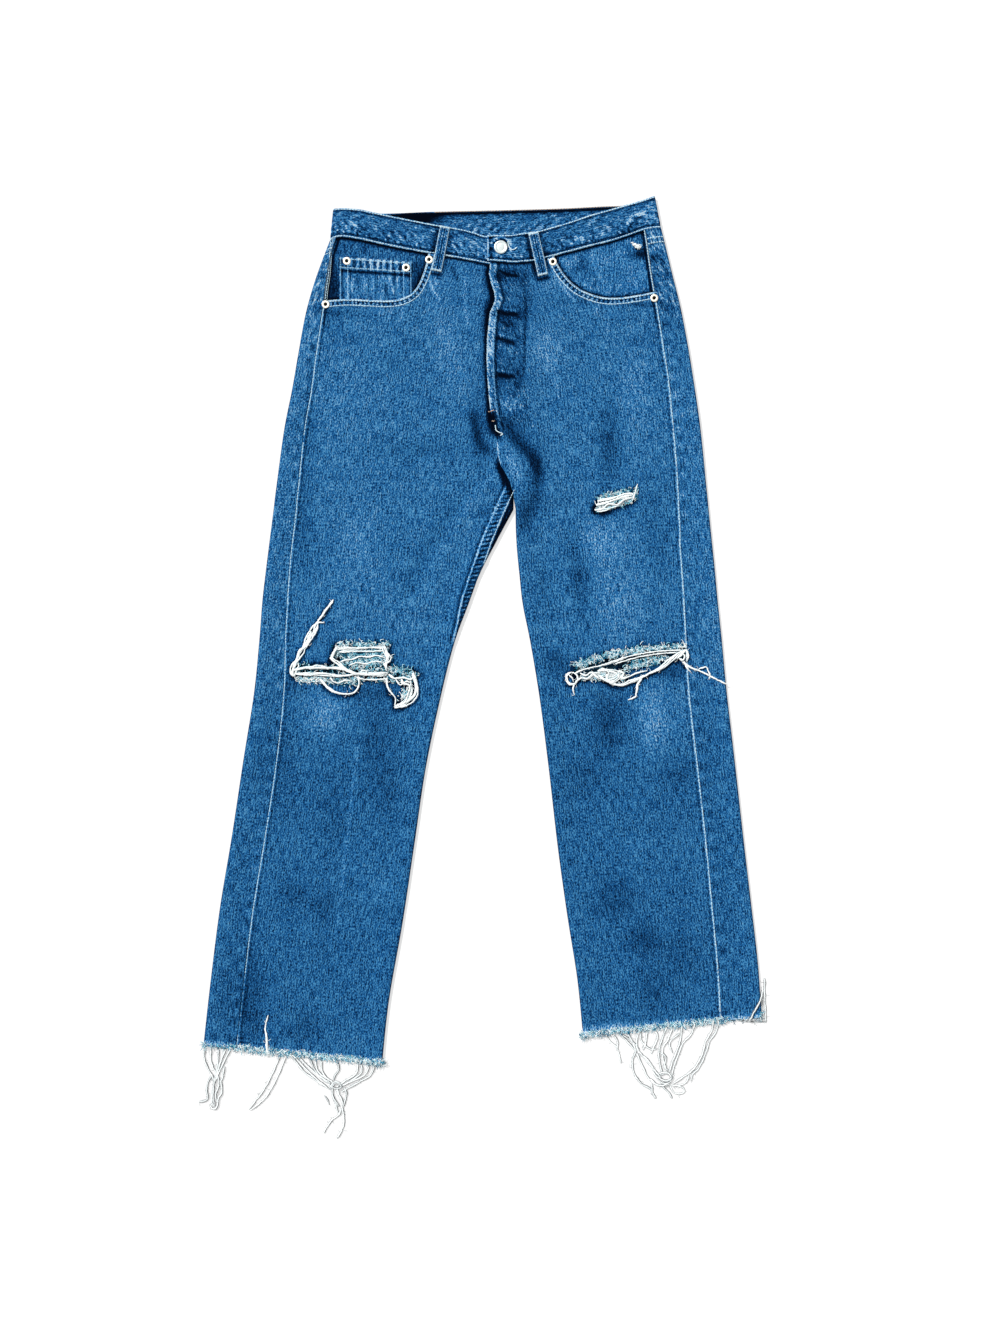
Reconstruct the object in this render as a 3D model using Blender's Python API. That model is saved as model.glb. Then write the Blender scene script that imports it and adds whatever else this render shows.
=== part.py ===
"""Ripped five-pocket jeans, lying flat with the front side up.

Sizes below are in millimetres, and MM turns them to metres where a mesh is made.
+Z is up, +Y runs from the hems to the waist, and +X runs towards the wearer's left side.
Each panel is a wall of denim lofted along rows.  A row is a closed line round one leg, or round
half of the seat: over the front, round the outer fold and along the underside.
"""

import math
from collections import namedtuple

import bmesh
import bpy
from mathutils import Vector

MM = 0.001

# Cloth
DENIM = 1.2  # wall of one layer
BAND_WALL = 2.4  # the waistband is two layers
SEAM_GAP = 0.3  # between pieces that a seam joins
LAY_GAP = 0.4  # between a piece and the panel it lies on
SHOULDER = 28.0  # width over which a layer sinks beside a fold or a ridge
FLY_WIDTH = 44.0  # raised flat width of the left front over the fly
END_LAP = 38.0  # length of the buttonhole end that lies on the button end

# Legs lie as flattened tubes
LEG_BASE = 0.0
LEG_SIDE = 6.0
LEG_MIDDLE = 3.6
CROTCH_Y = 190.0
HEM_DROP = 21.6  # how much lower the hem is at the inseam than at the outer fold

# One row per level of the seat, from the waist seam down.  y and outer are at the outer fold,
# seam is the outseam's distance inside it, centre_y is the level at the centre front, arch bows
# the row upwards, and the last four are heights of the outside above the surface it lies on.
HipRow = namedtuple("HipRow", "y outer seam centre_y arch base side middle centre")
HIPS = {
    "right": (
        HipRow(513.3, -182.5, 7.5, 484.0, 6.0, 2.1, 7.8, 7.8, 6.2),
        HipRow(494.0, -190.0, 8.5, 466.0, 5.0, 2.1, 7.8, 7.8, 6.2),
        HipRow(462.0, -201.5, 14.0, 439.0, 3.0, 1.5, 7.8, 7.8, 6.2),
        HipRow(425.0, -211.8, 19.6, 408.0, 2.0, 1.5, 7.5, 7.2, 6.2),
        HipRow(380.0, -220.2, 20.8, 368.0, 0.0, 1.5, 7.0, 5.6, 6.2),
        HipRow(335.0, -228.0, 22.6, 328.0, 0.0, 1.5, 6.8, 5.2, 6.2),
        HipRow(290.0, -237.0, 23.8, 287.0, 0.0, 1.5, 6.8, 5.0, 5.8),
        HipRow(245.0, -243.5, 25.0, 243.5, 0.0, 0.6, 6.4, 4.4, 5.2),
        HipRow(226.0, -246.0, 25.6, 225.0, 0.0, 0.3, 6.2, 4.2, 5.1),
        HipRow(205.0, -248.8, 26.0, 205.0, 0.0, 0.0, 6.0, 3.8, 5.0),
    ),
    "left": (
        HipRow(528.0, 215.0, 19.0, 488.0, -10.0, 2.1, 7.8, 7.8, 8.8),
        HipRow(510.0, 219.5, 20.5, 470.0, -8.0, 2.1, 7.8, 7.8, 8.8),
        HipRow(475.0, 228.0, 24.0, 442.0, -5.0, 1.5, 7.8, 7.8, 8.8),
        HipRow(435.0, 238.0, 27.0, 409.0, -3.0, 1.5, 7.5, 7.2, 8.6),
        HipRow(390.0, 246.8, 28.6, 372.0, -1.0, 1.5, 7.0, 5.6, 8.6),
        HipRow(345.0, 254.2, 29.2, 334.0, 0.0, 1.5, 6.8, 5.2, 8.4),
        HipRow(295.0, 261.5, 31.4, 290.0, 0.0, 1.5, 6.8, 5.0, 7.4),
        HipRow(245.0, 267.0, 32.5, 243.0, 0.0, 0.6, 6.4, 4.4, 7.0),
        HipRow(226.0, 268.8, 33.2, 225.0, 0.0, 0.3, 6.2, 4.2, 6.8),
        HipRow(205.0, 271.0, 34.0, 205.0, 0.0, 0.0, 6.0, 3.8, 6.6),
    ),
}
# The same levels at the centre: the right front's edge, which is under the left front's edge, and
# the seat seam.  The second level is the yoke seam's point.
CentreRow = namedtuple("CentreRow", "under_x over_x back_y back_x")
CENTRE = (
    CentreRow(14.0, 8.0, 513.0, 15.0),
    CentreRow(15.0, 8.5, 451.0, 15.0),
    CentreRow(17.0, 11.0, 425.0, 15.5),
    CentreRow(17.0, 9.0, 393.0, 16.5),
    CentreRow(15.0, 7.0, 355.0, 18.0),
    CentreRow(15.0, 7.0, 318.0, 20.5),
    CentreRow(21.0, 14.0, 280.0, 25.0),
    CentreRow(28.0, 21.5, 240.0, 32.0),
    CentreRow(33.5, 32.0, 222.0, 35.5),
    CentreRow(35.5, 38.3, 203.0, 38.0),
)
# One row per level of a leg.  wrap is how far past the inner fold's edge the inseam lies: on the
# front where it is positive, underneath where it is negative.
LegRow = namedtuple("LegRow", "y outer seam inner wrap")
LEGS = {
    "right": (
        LegRow(190.0, -250.5, 26.5, 37.8, 0.0),
        LegRow(168.0, -253.3, 26.7, 25.4, 9.0),
        LegRow(143.0, -256.5, 27.0, 11.9, 14.0),
        LegRow(115.0, -260.0, 27.8, -2.9, 12.5),
        LegRow(80.0, -264.0, 29.5, -16.4, 9.0),
        LegRow(35.0, -267.5, 30.6, -33.3, 1.0),
        LegRow(-30.0, -274.0, 35.0, -50.2, -6.0),
        LegRow(-110.0, -286.7, 39.0, -67.5, -8.0),
        LegRow(-200.0, -300.3, 39.0, -81.4, -8.0),
        LegRow(-290.0, -315.2, 39.0, -95.4, -8.0),
        LegRow(-380.0, -326.6, 39.0, -111.7, -8.0),
        LegRow(-453.6, -334.8, 39.0, -120.0, -8.0),
    ),
    "left": (
        LegRow(190.0, 272.4, 35.0, 40.3, -1.0),
        LegRow(168.0, 274.6, 36.0, 40.6, -4.0),
        LegRow(143.0, 277.2, 38.0, 42.0, -8.0),
        LegRow(115.0, 280.1, 38.7, 44.9, -8.0),
        LegRow(80.0, 283.3, 39.6, 49.0, -8.0),
        LegRow(35.0, 288.0, 42.0, 58.3, -8.0),
        LegRow(-30.0, 294.2, 44.4, 69.4, -8.0),
        LegRow(-110.0, 303.5, 44.4, 80.1, -8.0),
        LegRow(-200.0, 313.6, 44.4, 90.8, -8.0),
        LegRow(-280.0, 323.0, 46.0, 102.3, -8.0),
        LegRow(-355.0, 331.6, 47.5, 114.5, -8.0),
        LegRow(-420.0, 336.0, 48.0, 121.2, -8.0),
    ),
}

# Waistband: lean is how far the top corner lies inwards of the waist seam at the outer fold
Band = namedtuple("Band", "end_x lean outer_height centre_height height")
BANDS = {
    "right": Band(44.0, 3.7, 37.5, 34.2, 7.2),
    "left": Band(6.5, 7.4, 38.4, 31.5, 9.9),
}
BAND_BACK_HEIGHT = 37.0
BAND_FALL = 16.0  # length of the step down beside the buttonhole end

# Front pocket mouths: from the waist an arc turns into a straight run to the outseam
Mouth = namedtuple("Mouth", "mouth_x turn_x top_y low_y side_y")
MOUTHS = {
    "right": Mouth(-65.0, -112.0, 490.0, 440.5, 441.5),
    "left": Mouth(90.0, 150.0, 492.0, 443.5, 450.5),
}
FACING_PAST_MOUTH = 12.0
FACING_TUCK = 4.0  # what the outseam takes in
FACING_DROP = 3.0  # top of the facing below the waist seam at the outseam
FACING_LOW_Y = {"right": 424.0, "left": 430.0}
FACING_DEPTH = 3.1  # outside of the facing below the outside of the front
COIN_DEPTH = 1.55
COIN = dict(outer_x=-170.0, inner_x=-85.0, outer_y=493.0, inner_y=487.0, low_y=418.0)

# Fly
FLY_TOP_Y = 482.5
FLY_LOW_Y = 316.0
FLY_INNER_X = 12.0
FLY_OUTER_X = 52.0
FLY_Z = 3.6
FLY_WALL = 1.1
FLY_BUTTONS = ((31.0, 459.0), (31.0, 413.0), (31.0, 358.0))

# Back patch pockets, on the underside
Patch = namedtuple("Patch", "centre_x top_y side_y point_y top_width low_width")
PATCHES = {
    "right": Patch(-96.0, 440.0, 318.0, 300.0, 150.0, 132.0),
    "left": Patch(122.0, 443.0, 320.0, 302.0, 150.0, 132.0),
}

# Belt loops: the middle of each end
Loop = namedtuple("Loop", "name top_x top_y low_x low_y")
LOOP_WIDTH = 12.0
LOOP_WALL = 1.6
FRONT_LOOPS = {
    "right": Loop("belt_loop_front_right", -44.0, 529.0, -54.5, 476.0),
    "left": Loop("belt_loop_front_left", 61.5, 521.0, 72.5, 474.0),
}
BACK_LOOPS = (
    Loop("belt_loop_side_right", -106.0, 549.0, -106.0, 500.0),
    Loop("belt_loop_centre_back", 15.0, 548.5, 15.0, 500.0),
    Loop("belt_loop_side_left", 138.0, 556.0, 138.0, 506.0),
)

# Hardware
WAIST_BUTTON = (22.5, 504.0)
BUTTON_RADIUS = 8.5
BUTTONHOLE_LENGTH = 17.0
BUTTONHOLE_WIDTH = 4.0
BUTTONHOLE_EYE = 3.8
RIVET_RADIUS = 4.7
RIVET_HEIGHT = 1.2
RIVETS = {
    "rivet_coin_outer": (-162.0, 488.0),
    "rivet_coin_inner": (-91.0, 480.0),
    "rivet_right_mouth": (-63.4, 489.5),
    "rivet_right_side": (-187.5, 436.0),
    "rivet_left_mouth": (85.0, 487.0),
    "rivet_left_side": (206.5, 443.5),
}

# Rips: each slit is a pointed lens between two ends.  A few yarns still cross between the two
# slits of a knee.
Slit = namedtuple("Slit", "start end height")
RIPS = {
    "right": (
        Slit((-224.0, -2.0), (-161.0, -3.0), 9.0),
        Slit((-155.0, -6.0), (-84.0, -9.5), 10.0),
        Slit((-173.0, 12.0), (-115.0, 13.0), 16.0),
    ),
    "left": (
        Slit((110.0, -7.0), (172.0, 8.0), 12.0),
        Slit((178.0, 6.0), (243.0, 24.0), 12.0),
        Slit((138.0, 194.0), (179.0, 202.0), 8.0),
    ),
}
# The heaviest loose yarns lie over the rips as flat strands
STRAND_STEP = 9.0  # closest spacing of the sections along a strand
Strand = namedtuple("Strand", "name side width route")
STRANDS = (
    Strand(
        "knee_threads_right", "right", 3.6,
        ((-178, 82), (-192, 54), (-206, 36), (-222, 11), (-227, -4), (-206, -5), (-174, -5),
         (-157, -8), (-125, -8), (-86, -11), (-82, -26), (-90, -38), (-105, -45)),
    ),
    Strand(
        "knee_threads_left", "left", 3.6,
        ((106, -9), (120, -3), (138, -5), (154, -15), (168, -21), (192, -9), (218, 7),
         (242, 20), (251, 8), (265, -5), (279, -12), (292, -18)),
    ),
    Strand("thigh_threads_left", "left", 7.0, ((138, 192), (150, 196), (167, 199), (180, 205))),
)

# Cut hems: the reach of the loose threads, as flat shapes that start at the raw edge
FRINGE_HEIGHT = 2.0
FRINGES = {
    "hem_fringe_right_outer": (
        (-333, -454.5), (-303, -457.5), (-309, -490), (-313, -512), (-320, -527), (-342, -522),
        (-331, -506), (-325, -480),
    ),
    "hem_fringe_right_middle": (
        (-241, -463.8), (-234, -464.5), (-262, -506), (-277, -531), (-284, -529), (-269, -501),
    ),
    "hem_fringe_right_inner": (
        (-230, -464.9), (-126, -475.3), (-140, -488), (-158, -506), (-161, -533), (-168, -558),
        (-176, -566.4), (-191, -560), (-177, -539), (-184, -512), (-191, -495), (-216, -478),
    ),
    "hem_fringe_left_main": (
        (143, -440.2), (294, -425.0), (271, -468), (246, -505), (229, -522), (208, -522),
        (193, -505), (160, -478),
    ),
    "hem_fringe_left_corner": (
        (325, -421.9), (336.8, -420.8), (340.6, -374), (342, -374), (342, -427), (331, -427),
    ),
}


# ---------------------------------------------------------------- materials and meshes


def finish(name, colour, roughness=0.85, metallic=0.0):
    """A plain Principled material."""
    material = bpy.data.materials.new(name)
    material.use_nodes = True
    shader = material.node_tree.nodes["Principled BSDF"]
    shader.inputs["Base Color"].default_value = (*colour, 1.0)
    shader.inputs["Roughness"].default_value = roughness
    shader.inputs["Metallic"].default_value = metallic
    material.diffuse_color = (*colour, 1.0)
    return material


def add_object(name, mesh, material):
    mesh.materials.append(material)
    thing = bpy.data.objects.new(name, mesh)
    bpy.context.scene.collection.objects.link(thing)
    return thing


def mesh_from(name, points, faces):
    """A closed mesh in metres from points in millimetres, triangulated and facing out."""
    mesh = bpy.data.meshes.new(name)
    mesh.from_pydata([Vector(point) * MM for point in points], [], faces)
    shape = bmesh.new()
    shape.from_mesh(mesh)
    bmesh.ops.recalc_face_normals(shape, faces=shape.faces)
    bmesh.ops.triangulate(shape, faces=shape.faces)
    shape.to_mesh(mesh)
    shape.free()
    return mesh


def wall_mesh(name, grid, wall):
    """Give a grid of (outside point, outward normal) rows a wall towards its inside."""
    count, width = len(grid), len(grid[0])
    outside = [point for row in grid for point, _ in row]
    inside = [point - normal * wall for row in grid for point, normal in row]
    layer = len(outside)
    faces = []
    for i in range(count - 1):
        for j in range(width - 1):
            a, b = i * width + j, (i + 1) * width + j
            faces.append((a, a + 1, b + 1, b))
            faces.append((a + layer, b + layer, b + 1 + layer, a + 1 + layer))
    rim = [j for j in range(width)]
    rim += [i * width + width - 1 for i in range(1, count)]
    rim += [(count - 1) * width + j for j in range(width - 2, -1, -1)]
    rim += [i * width for i in range(count - 2, 0, -1)]
    for a, b in zip(rim, rim[1:] + rim[:1]):
        faces.append((a, a + layer, b + layer, b))
    return mesh_from(name, outside + inside, faces)


def plate_mesh(name, outline, low, high):
    """A flat plate: an outline of (x, y) between two heights."""
    count = len(outline)
    points = [(x, y, low) for x, y in outline] + [(x, y, high) for x, y in outline]
    faces = [tuple(range(count)), tuple(range(count, 2 * count))]
    for i in range(count):
        k = (i + 1) % count
        faces.append((i, k, k + count, i + count))
    return mesh_from(name, points, faces)


def turned_mesh(name, profile, centre, segments):
    """A solid of revolution from (radius, height) pairs; the first and last are on the axis."""
    points = [(centre[0], centre[1], profile[0][1]), (centre[0], centre[1], profile[-1][1])]
    rings = profile[1:-1]
    for radius, height in rings:
        for k in range(segments):
            angle = 2.0 * math.pi * k / segments
            x = centre[0] + radius * math.cos(angle)
            y = centre[1] + radius * math.sin(angle)
            points.append((x, y, height))
    faces = []
    for k in range(segments):
        nxt = (k + 1) % segments
        faces.append((0, 2 + k, 2 + nxt))
        last = 2 + (len(rings) - 1) * segments
        faces.append((1, last + nxt, last + k))
        for ring in range(len(rings) - 1):
            a, b = 2 + ring * segments, 2 + (ring + 1) * segments
            faces.append((a + k, b + k, b + nxt, a + nxt))
    return mesh_from(name, points, faces)


def cut(thing, name, outline, low, high):
    """Cut a plate-shaped hole through one object."""
    cutter = bpy.data.objects.new(name, plate_mesh(name, outline, low, high))
    bpy.context.scene.collection.objects.link(cutter)
    cutter.hide_render = True
    cutter.display_type = "WIRE"
    boolean = thing.modifiers.new(name, "BOOLEAN")
    boolean.operation = "DIFFERENCE"
    boolean.solver = "EXACT"
    boolean.object = cutter


# ---------------------------------------------------------------- the form of the cloth

Round = namedtuple(
    "Round", "outer front back seam arch base side middle centre plateau fall wrap"
)


def hip_round(side, level):
    row, middle = HIPS[side][level], CENTRE[level]
    left = side == "left"
    return Round(
        outer=(row.outer, row.y),
        front=(middle.over_x if left else middle.under_x, row.centre_y),
        back=(middle.back_x, middle.back_y),
        seam=row.seam,
        arch=row.arch,
        base=row.base,
        side=row.side,
        middle=row.middle,
        centre=row.centre,
        plateau=FLY_WIDTH if left else 0.0,
        fall=SHOULDER,
        wrap=None,
    )


def leg_round(side, row):
    hem_y = LEGS[side][-1].y
    inner_y = row.y - HEM_DROP * (CROTCH_Y - row.y) / (CROTCH_Y - hem_y)
    return Round(
        outer=(row.outer, row.y),
        front=(row.inner, inner_y),
        back=(row.inner, inner_y),
        seam=row.seam,
        arch=0.0,
        base=LEG_BASE,
        side=LEG_SIDE,
        middle=LEG_MIDDLE,
        centre=LEG_SIDE,
        plateau=0.0,
        fall=SHOULDER,
        wrap=row.wrap,
    )


def rounds(side):
    """All rows of one side, from the waist seam to the hem."""
    hips = [hip_round(side, level) for level in range(len(CENTRE))]
    return hips + [leg_round(side, row) for row in LEGS[side]]


def ease(u):
    """One at and below 0, nought at and above 1, level at both ends."""
    u = min(max(u, 0.0), 1.0)
    return 1.0 - u * u * (3.0 - 2.0 * u)


def fold_radius(row):
    return (row.side - row.base) / 2.0


def quarter(row):
    return math.pi * fold_radius(row) / 2.0


def flat_run(row, end):
    """Flat width from the outer fold to a row's end: a free edge, or the start of the inner fold."""
    folds = 1 if row.wrap is None else 2
    return abs(end[0] - row.outer[0]) - folds * fold_radius(row)


def crown(row, run, flat):
    """Height of the front's outside, run in from the outer fold's shoulder."""
    beside_fold = ease(run / SHOULDER)
    beside_centre = ease((flat - run - row.plateau) / row.fall)
    return (
        row.middle
        + (row.side - row.middle) * beside_fold
        + (row.centre - row.middle) * beside_centre
    )


def contour(row, s):
    """Outside point and normal, s round from the outer fold's edge: front +, underside -."""
    face = 1.0 if s >= 0.0 else -1.0
    end = row.front if s >= 0.0 else row.back
    s = abs(s)
    radius, bend = fold_radius(row), quarter(row)
    flat = flat_run(row, end)
    heart = row.base + radius
    past = s - bend - flat
    if s <= bend:
        turn = s / radius
        across, height = radius - radius * math.cos(turn), heart + face * radius * math.sin(turn)
        normal = (-math.cos(turn), face * math.sin(turn))
    elif past <= 0.0 or row.wrap is None:
        run = s - bend
        across = radius + run
        height = crown(row, run, flat) if face > 0.0 else row.base
        normal = (0.0, face)
    elif past <= 2.0 * bend:
        turn = past / radius
        across = radius + flat + radius * math.sin(turn)
        height = heart + face * radius * math.cos(turn)
        normal = (math.sin(turn), face * math.cos(turn))
    else:
        run = flat - (past - 2.0 * bend)
        across = radius + run
        height = row.base if face > 0.0 else crown(row, run, flat)
        normal = (0.0, -face)
    inward = 1.0 if row.outer[0] < 0.0 else -1.0
    share = min(max(across / abs(end[0] - row.outer[0]), 0.0), 1.0)
    y = row.outer[1] + (end[1] - row.outer[1]) * share
    if face > 0.0:
        y += row.arch * 4.0 * share * (1.0 - share)
    x = row.outer[0] + inward * across
    return Vector((x, y, height)), Vector((inward * normal[0], 0.0, normal[1]))


def seam_reach(row):
    return quarter(row) + row.seam - fold_radius(row)


def front_reach(row):
    reach = quarter(row) + flat_run(row, row.front)
    if row.wrap is None:
        return reach
    return reach + quarter(row) - row.wrap


def back_reach(row):
    reach = quarter(row) + flat_run(row, row.back)
    if row.wrap is None:
        return reach
    return reach + quarter(row) + row.wrap


def between(start, end, count):
    return [start + (end - start) * (k + 1) / (count + 1) for k in range(count)]


def front_columns(row):
    """Places across a front panel, closer beside the outseam and round the inner fold."""
    start = seam_reach(row) + SEAM_GAP / 2.0
    end = front_reach(row) - SEAM_GAP / 2.0
    near = [start + step for step in (0.0, 8.0, 20.0)]
    far = [end - step for step in (26.0, 14.0, 10.5, 7.0, 3.5, 0.0)]
    return near + between(near[-1], far[0], 6) + far


def back_columns(row):
    """Places from the outseam round the outer fold and along the underside to the inner edge."""
    start = seam_reach(row) - SEAM_GAP / 2.0
    end = -(back_reach(row) - SEAM_GAP / 2.0)
    bend = quarter(row)
    fold = [bend, bend / 2.0, 0.0, -bend / 2.0, -bend]
    far = [end + step for step in (30.0, 20.0, 16.0, 12.0, 8.0, 4.0, 0.0)]
    return [start] + between(start, bend, 3) + fold + between(fold[-1], far[0], 3) + far


def loft(rows, columns, drop_first=0.0):
    """Grid of outside points; the first row is dropped to leave the gap of its seam."""
    grid = [[contour(row, s) for s in columns(row)] for row in rows]
    for point, _ in grid[0]:
        point.y -= drop_first
    return grid


def row_height(row, x):
    """Height of the front's outside on one row."""
    inset = abs(x - row.outer[0])
    radius = fold_radius(row)
    if inset < radius:
        return row.base + radius + math.sqrt(max(radius**2 - (radius - inset) ** 2, 0.0))
    return crown(row, inset - radius, flat_run(row, row.front))


def row_level(row, x):
    """Level of one row at a place across the front."""
    share = min(max((x - row.outer[0]) / (row.front[0] - row.outer[0]), 0.0), 1.0)
    bow = row.arch * 4.0 * share * (1.0 - share)
    return row.outer[1] + (row.front[1] - row.outer[1]) * share + bow


def front_height(side, x, y):
    """Height of the front's outside above the floor at any place."""
    rows = rounds(side)
    upper = rows[0]
    for lower in rows[1:]:
        if y >= row_level(lower, x):
            break
        upper = lower
    high, low = row_level(upper, x), row_level(lower, x)
    share = min(max((high - y) / (high - low), 0.0), 1.0)
    return row_height(upper, x) * (1.0 - share) + row_height(lower, x) * share


def outseam_x(side, y):
    rows = HIPS[side]
    for upper, lower in zip(rows, rows[1:]):
        if y >= lower.y:
            break
    share = (upper.y - y) / (upper.y - lower.y)
    inward = 1.0 if side == "right" else -1.0
    high, low = upper.outer + inward * upper.seam, lower.outer + inward * lower.seam
    return high + (low - high) * share


# ---------------------------------------------------------------- the pieces


def build_panels(denim):
    """Front panels, back panels and yokes."""
    for side in ("right", "left"):
        rows = rounds(side)
        front = wall_mesh(f"front_{side}", loft(rows, front_columns, LAY_GAP), DENIM)
        panel = add_object(f"front_{side}", front, denim)
        cut(panel, f"cut_pocket_{side}", mouth_outline(side), 2.0, 14.0)
        for number, slit in enumerate(RIPS[side]):
            cut(panel, f"cut_rip_{side}_{number}", slit_outline(slit), 2.0, 14.0)
        yoke = wall_mesh(f"yoke_{side}", loft(rows[:2], back_columns, SEAM_GAP), DENIM)
        add_object(f"yoke_{side}", yoke, denim)
        back = wall_mesh(f"back_{side}", loft(rows[1:], back_columns, SEAM_GAP), DENIM)
        add_object(f"back_{side}", back, denim)


def mouth_outline(side):
    """What the pocket mouth takes out of the front's upper corner."""
    mouth = MOUTHS[side]
    outward = -1.0 if side == "right" else 1.0
    high, wide = 560.0, mouth.turn_x + outward * 140.0
    outline = [(mouth.mouth_x, high)]
    reach, depth = mouth.turn_x - mouth.mouth_x, mouth.top_y - mouth.low_y
    for k in range(7):
        angle = math.pi / 2.0 * k / 6.0
        x = mouth.turn_x - reach * math.cos(angle)
        outline.append((x, mouth.top_y - depth * math.sin(angle)))
    seam_x = outseam_x(side, mouth.side_y)
    slope = (mouth.side_y - mouth.low_y) / (seam_x - mouth.turn_x)
    outline.append((wide, mouth.low_y + slope * (wide - mouth.turn_x)))
    outline.append((wide, high))
    return outline


def slit_outline(slit):
    """A pointed lens round the line between a slit's ends."""
    start, end = Vector(slit.start), Vector(slit.end)
    along = end - start
    up = Vector((-along.y, along.x)).normalized()
    steps = 8
    upper, lower = [], []
    for k in range(steps + 1):
        share = k / steps
        swell = slit.height / 2.0 * math.sin(math.pi * share) ** 0.6 if 0 < k < steps else 0.0
        upper.append(start + along * share + up * swell)
        lower.append(start + along * share - up * swell)
    return [tuple(point) for point in lower] + [tuple(point) for point in upper[-2:0:-1]]


def band_rounds(side):
    """The waistband's lower and upper edge on one side."""
    band = BANDS[side]
    seam = hip_round(side, 0)
    inward = 1.0 if side == "right" else -1.0
    lower = seam._replace(
        centre=band.height,
        plateau=END_LAP if side == "left" else 0.0,
        fall=BAND_FALL,
    )
    upper = lower._replace(
        outer=(seam.outer[0] + inward * band.lean, seam.outer[1] + band.outer_height),
        front=(seam.front[0], seam.front[1] + band.centre_height),
        back=(seam.back[0], seam.back[1] + BAND_BACK_HEIGHT),
    )
    return lower, upper


def band_places(row, end_x):
    """Places round one half of the band, from its front end to the centre back."""
    bend = quarter(row)
    front = abs(end_x - row.outer[0]) - fold_radius(row)
    back = flat_run(row, row.back)
    shares = [1.0, 0.95, 0.9, 0.85, 0.8, 0.75, 0.7, 0.6, 0.5, 0.4, 0.3, 0.2, 0.1]
    places = [bend + front * share for share in shares]
    places += [bend, bend / 2.0, 0.0, -bend / 2.0, -bend]
    places += [-(bend + back * share) for share in (0.2, 0.4, 0.6, 0.8, 1.0)]
    return places


def band_height(x):
    """Height of the waistband's outside on the front."""
    side = "left" if x > BANDS["left"].end_x else "right"
    lower, _ = band_rounds(side)
    return crown(lower, abs(x - lower.outer[0]) - fold_radius(lower), flat_run(lower, lower.front))


def build_waistband(denim):
    edges = []
    for side in ("right", "left"):
        lower, upper = band_rounds(side)
        edges.append(
            [
                [contour(row, s) for s in band_places(row, BANDS[side].end_x)]
                for row in (lower, upper)
            ]
        )
    grid = [edges[0][k] + edges[1][k][-2::-1] for k in (0, 1)]
    band = add_object("waistband", wall_mesh("waistband", grid, BAND_WALL), denim)
    x, y = WAIST_BUTTON
    eye = [
        (
            x + BUTTONHOLE_EYE * math.cos(math.pi * k / 6.0),
            y + BUTTONHOLE_EYE * math.sin(math.pi * k / 6.0),
        )
        for k in range(1, 12)
    ]
    half = BUTTONHOLE_WIDTH / 2.0
    slot = [(x + BUTTONHOLE_LENGTH, y - half), (x + BUTTONHOLE_LENGTH, y + half)]
    low = BANDS["right"].height + SEAM_GAP / 2.0
    cut(band, "cut_buttonhole", slot + eye, low, low + 6.0)


def lay_patch(name, corners, side, depth, wall, material):
    """A piece that follows the front's outside, depth below it, between four (x, y) corners."""
    columns, rows = 8, 6
    grid = []
    for j in range(rows + 1):
        down = j / rows
        start = Vector(corners[0]).lerp(Vector(corners[3]), down)
        end = Vector(corners[1]).lerp(Vector(corners[2]), down)
        line = []
        for i in range(columns + 1):
            x, y = start.lerp(end, i / columns)
            line.append((Vector((x, y, front_height(side, x, y) - depth)), Vector((0, 0, 1))))
        grid.append(line)
    add_object(name, wall_mesh(name, grid, wall), material)


def build_front_pockets(denim):
    """Facings in both mouths, and the coin pocket on the right one."""
    for side in ("right", "left"):
        mouth = MOUTHS[side]
        outward = -1.0 if side == "right" else 1.0
        top = hip_round(side, 0)
        low_y = FACING_LOW_Y[side]
        inner_x = mouth.mouth_x - outward * FACING_PAST_MOUTH
        outer_y = top.outer[1] - FACING_DROP
        inner_y = min(row_level(top, inner_x), outer_y) - 2.0 * SEAM_GAP
        corners = (
            (outseam_x(side, outer_y) + outward * FACING_TUCK, outer_y),
            (inner_x, inner_y - abs(min(top.arch, 0.0))),
            (inner_x, low_y),
            (outseam_x(side, low_y) + outward * FACING_TUCK, low_y),
        )
        lay_patch(f"pocket_facing_{side}", corners, side, FACING_DEPTH, DENIM, denim)
    corners = (
        (COIN["outer_x"], COIN["outer_y"]),
        (COIN["inner_x"], COIN["inner_y"]),
        (COIN["inner_x"], COIN["low_y"]),
        (COIN["outer_x"], COIN["low_y"]),
    )
    lay_patch("coin_pocket", corners, "right", COIN_DEPTH, DENIM, denim)


def build_fly(denim, metal):
    """The button side of the fly under the left front, with its hidden buttons."""
    outline = (
        (FLY_INNER_X, FLY_TOP_Y), (FLY_OUTER_X, FLY_TOP_Y), (FLY_OUTER_X, FLY_LOW_Y + 30.0),
        (FLY_OUTER_X - 10.0, FLY_LOW_Y), (FLY_INNER_X, FLY_LOW_Y),
    )
    plate = plate_mesh("fly_extension", outline, FLY_Z, FLY_Z + FLY_WALL)
    add_object("fly_extension", plate, denim)
    seat = FLY_Z + FLY_WALL + SEAM_GAP
    profile = ((0.0, seat), (4.0, seat), (7.0, seat + 0.6), (7.0, seat + 1.5), (5.6, seat + 2.0),
               (0.0, seat + 2.0))
    for number, centre in enumerate(FLY_BUTTONS, 1):
        name = f"fly_button_{number}"
        add_object(name, turned_mesh(name, profile, centre, 14), metal)


def build_back_pockets(denim):
    for side, patch in PATCHES.items():
        top, low = patch.top_width / 2.0, patch.low_width / 2.0
        x = patch.centre_x
        outline = (
            (x - top, patch.top_y), (x - low, patch.side_y), (x, patch.point_y),
            (x + low, patch.side_y), (x + top, patch.top_y),
        )
        name = f"patch_pocket_{side}"
        add_object(name, plate_mesh(name, outline, 0.0, DENIM), denim)


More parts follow.
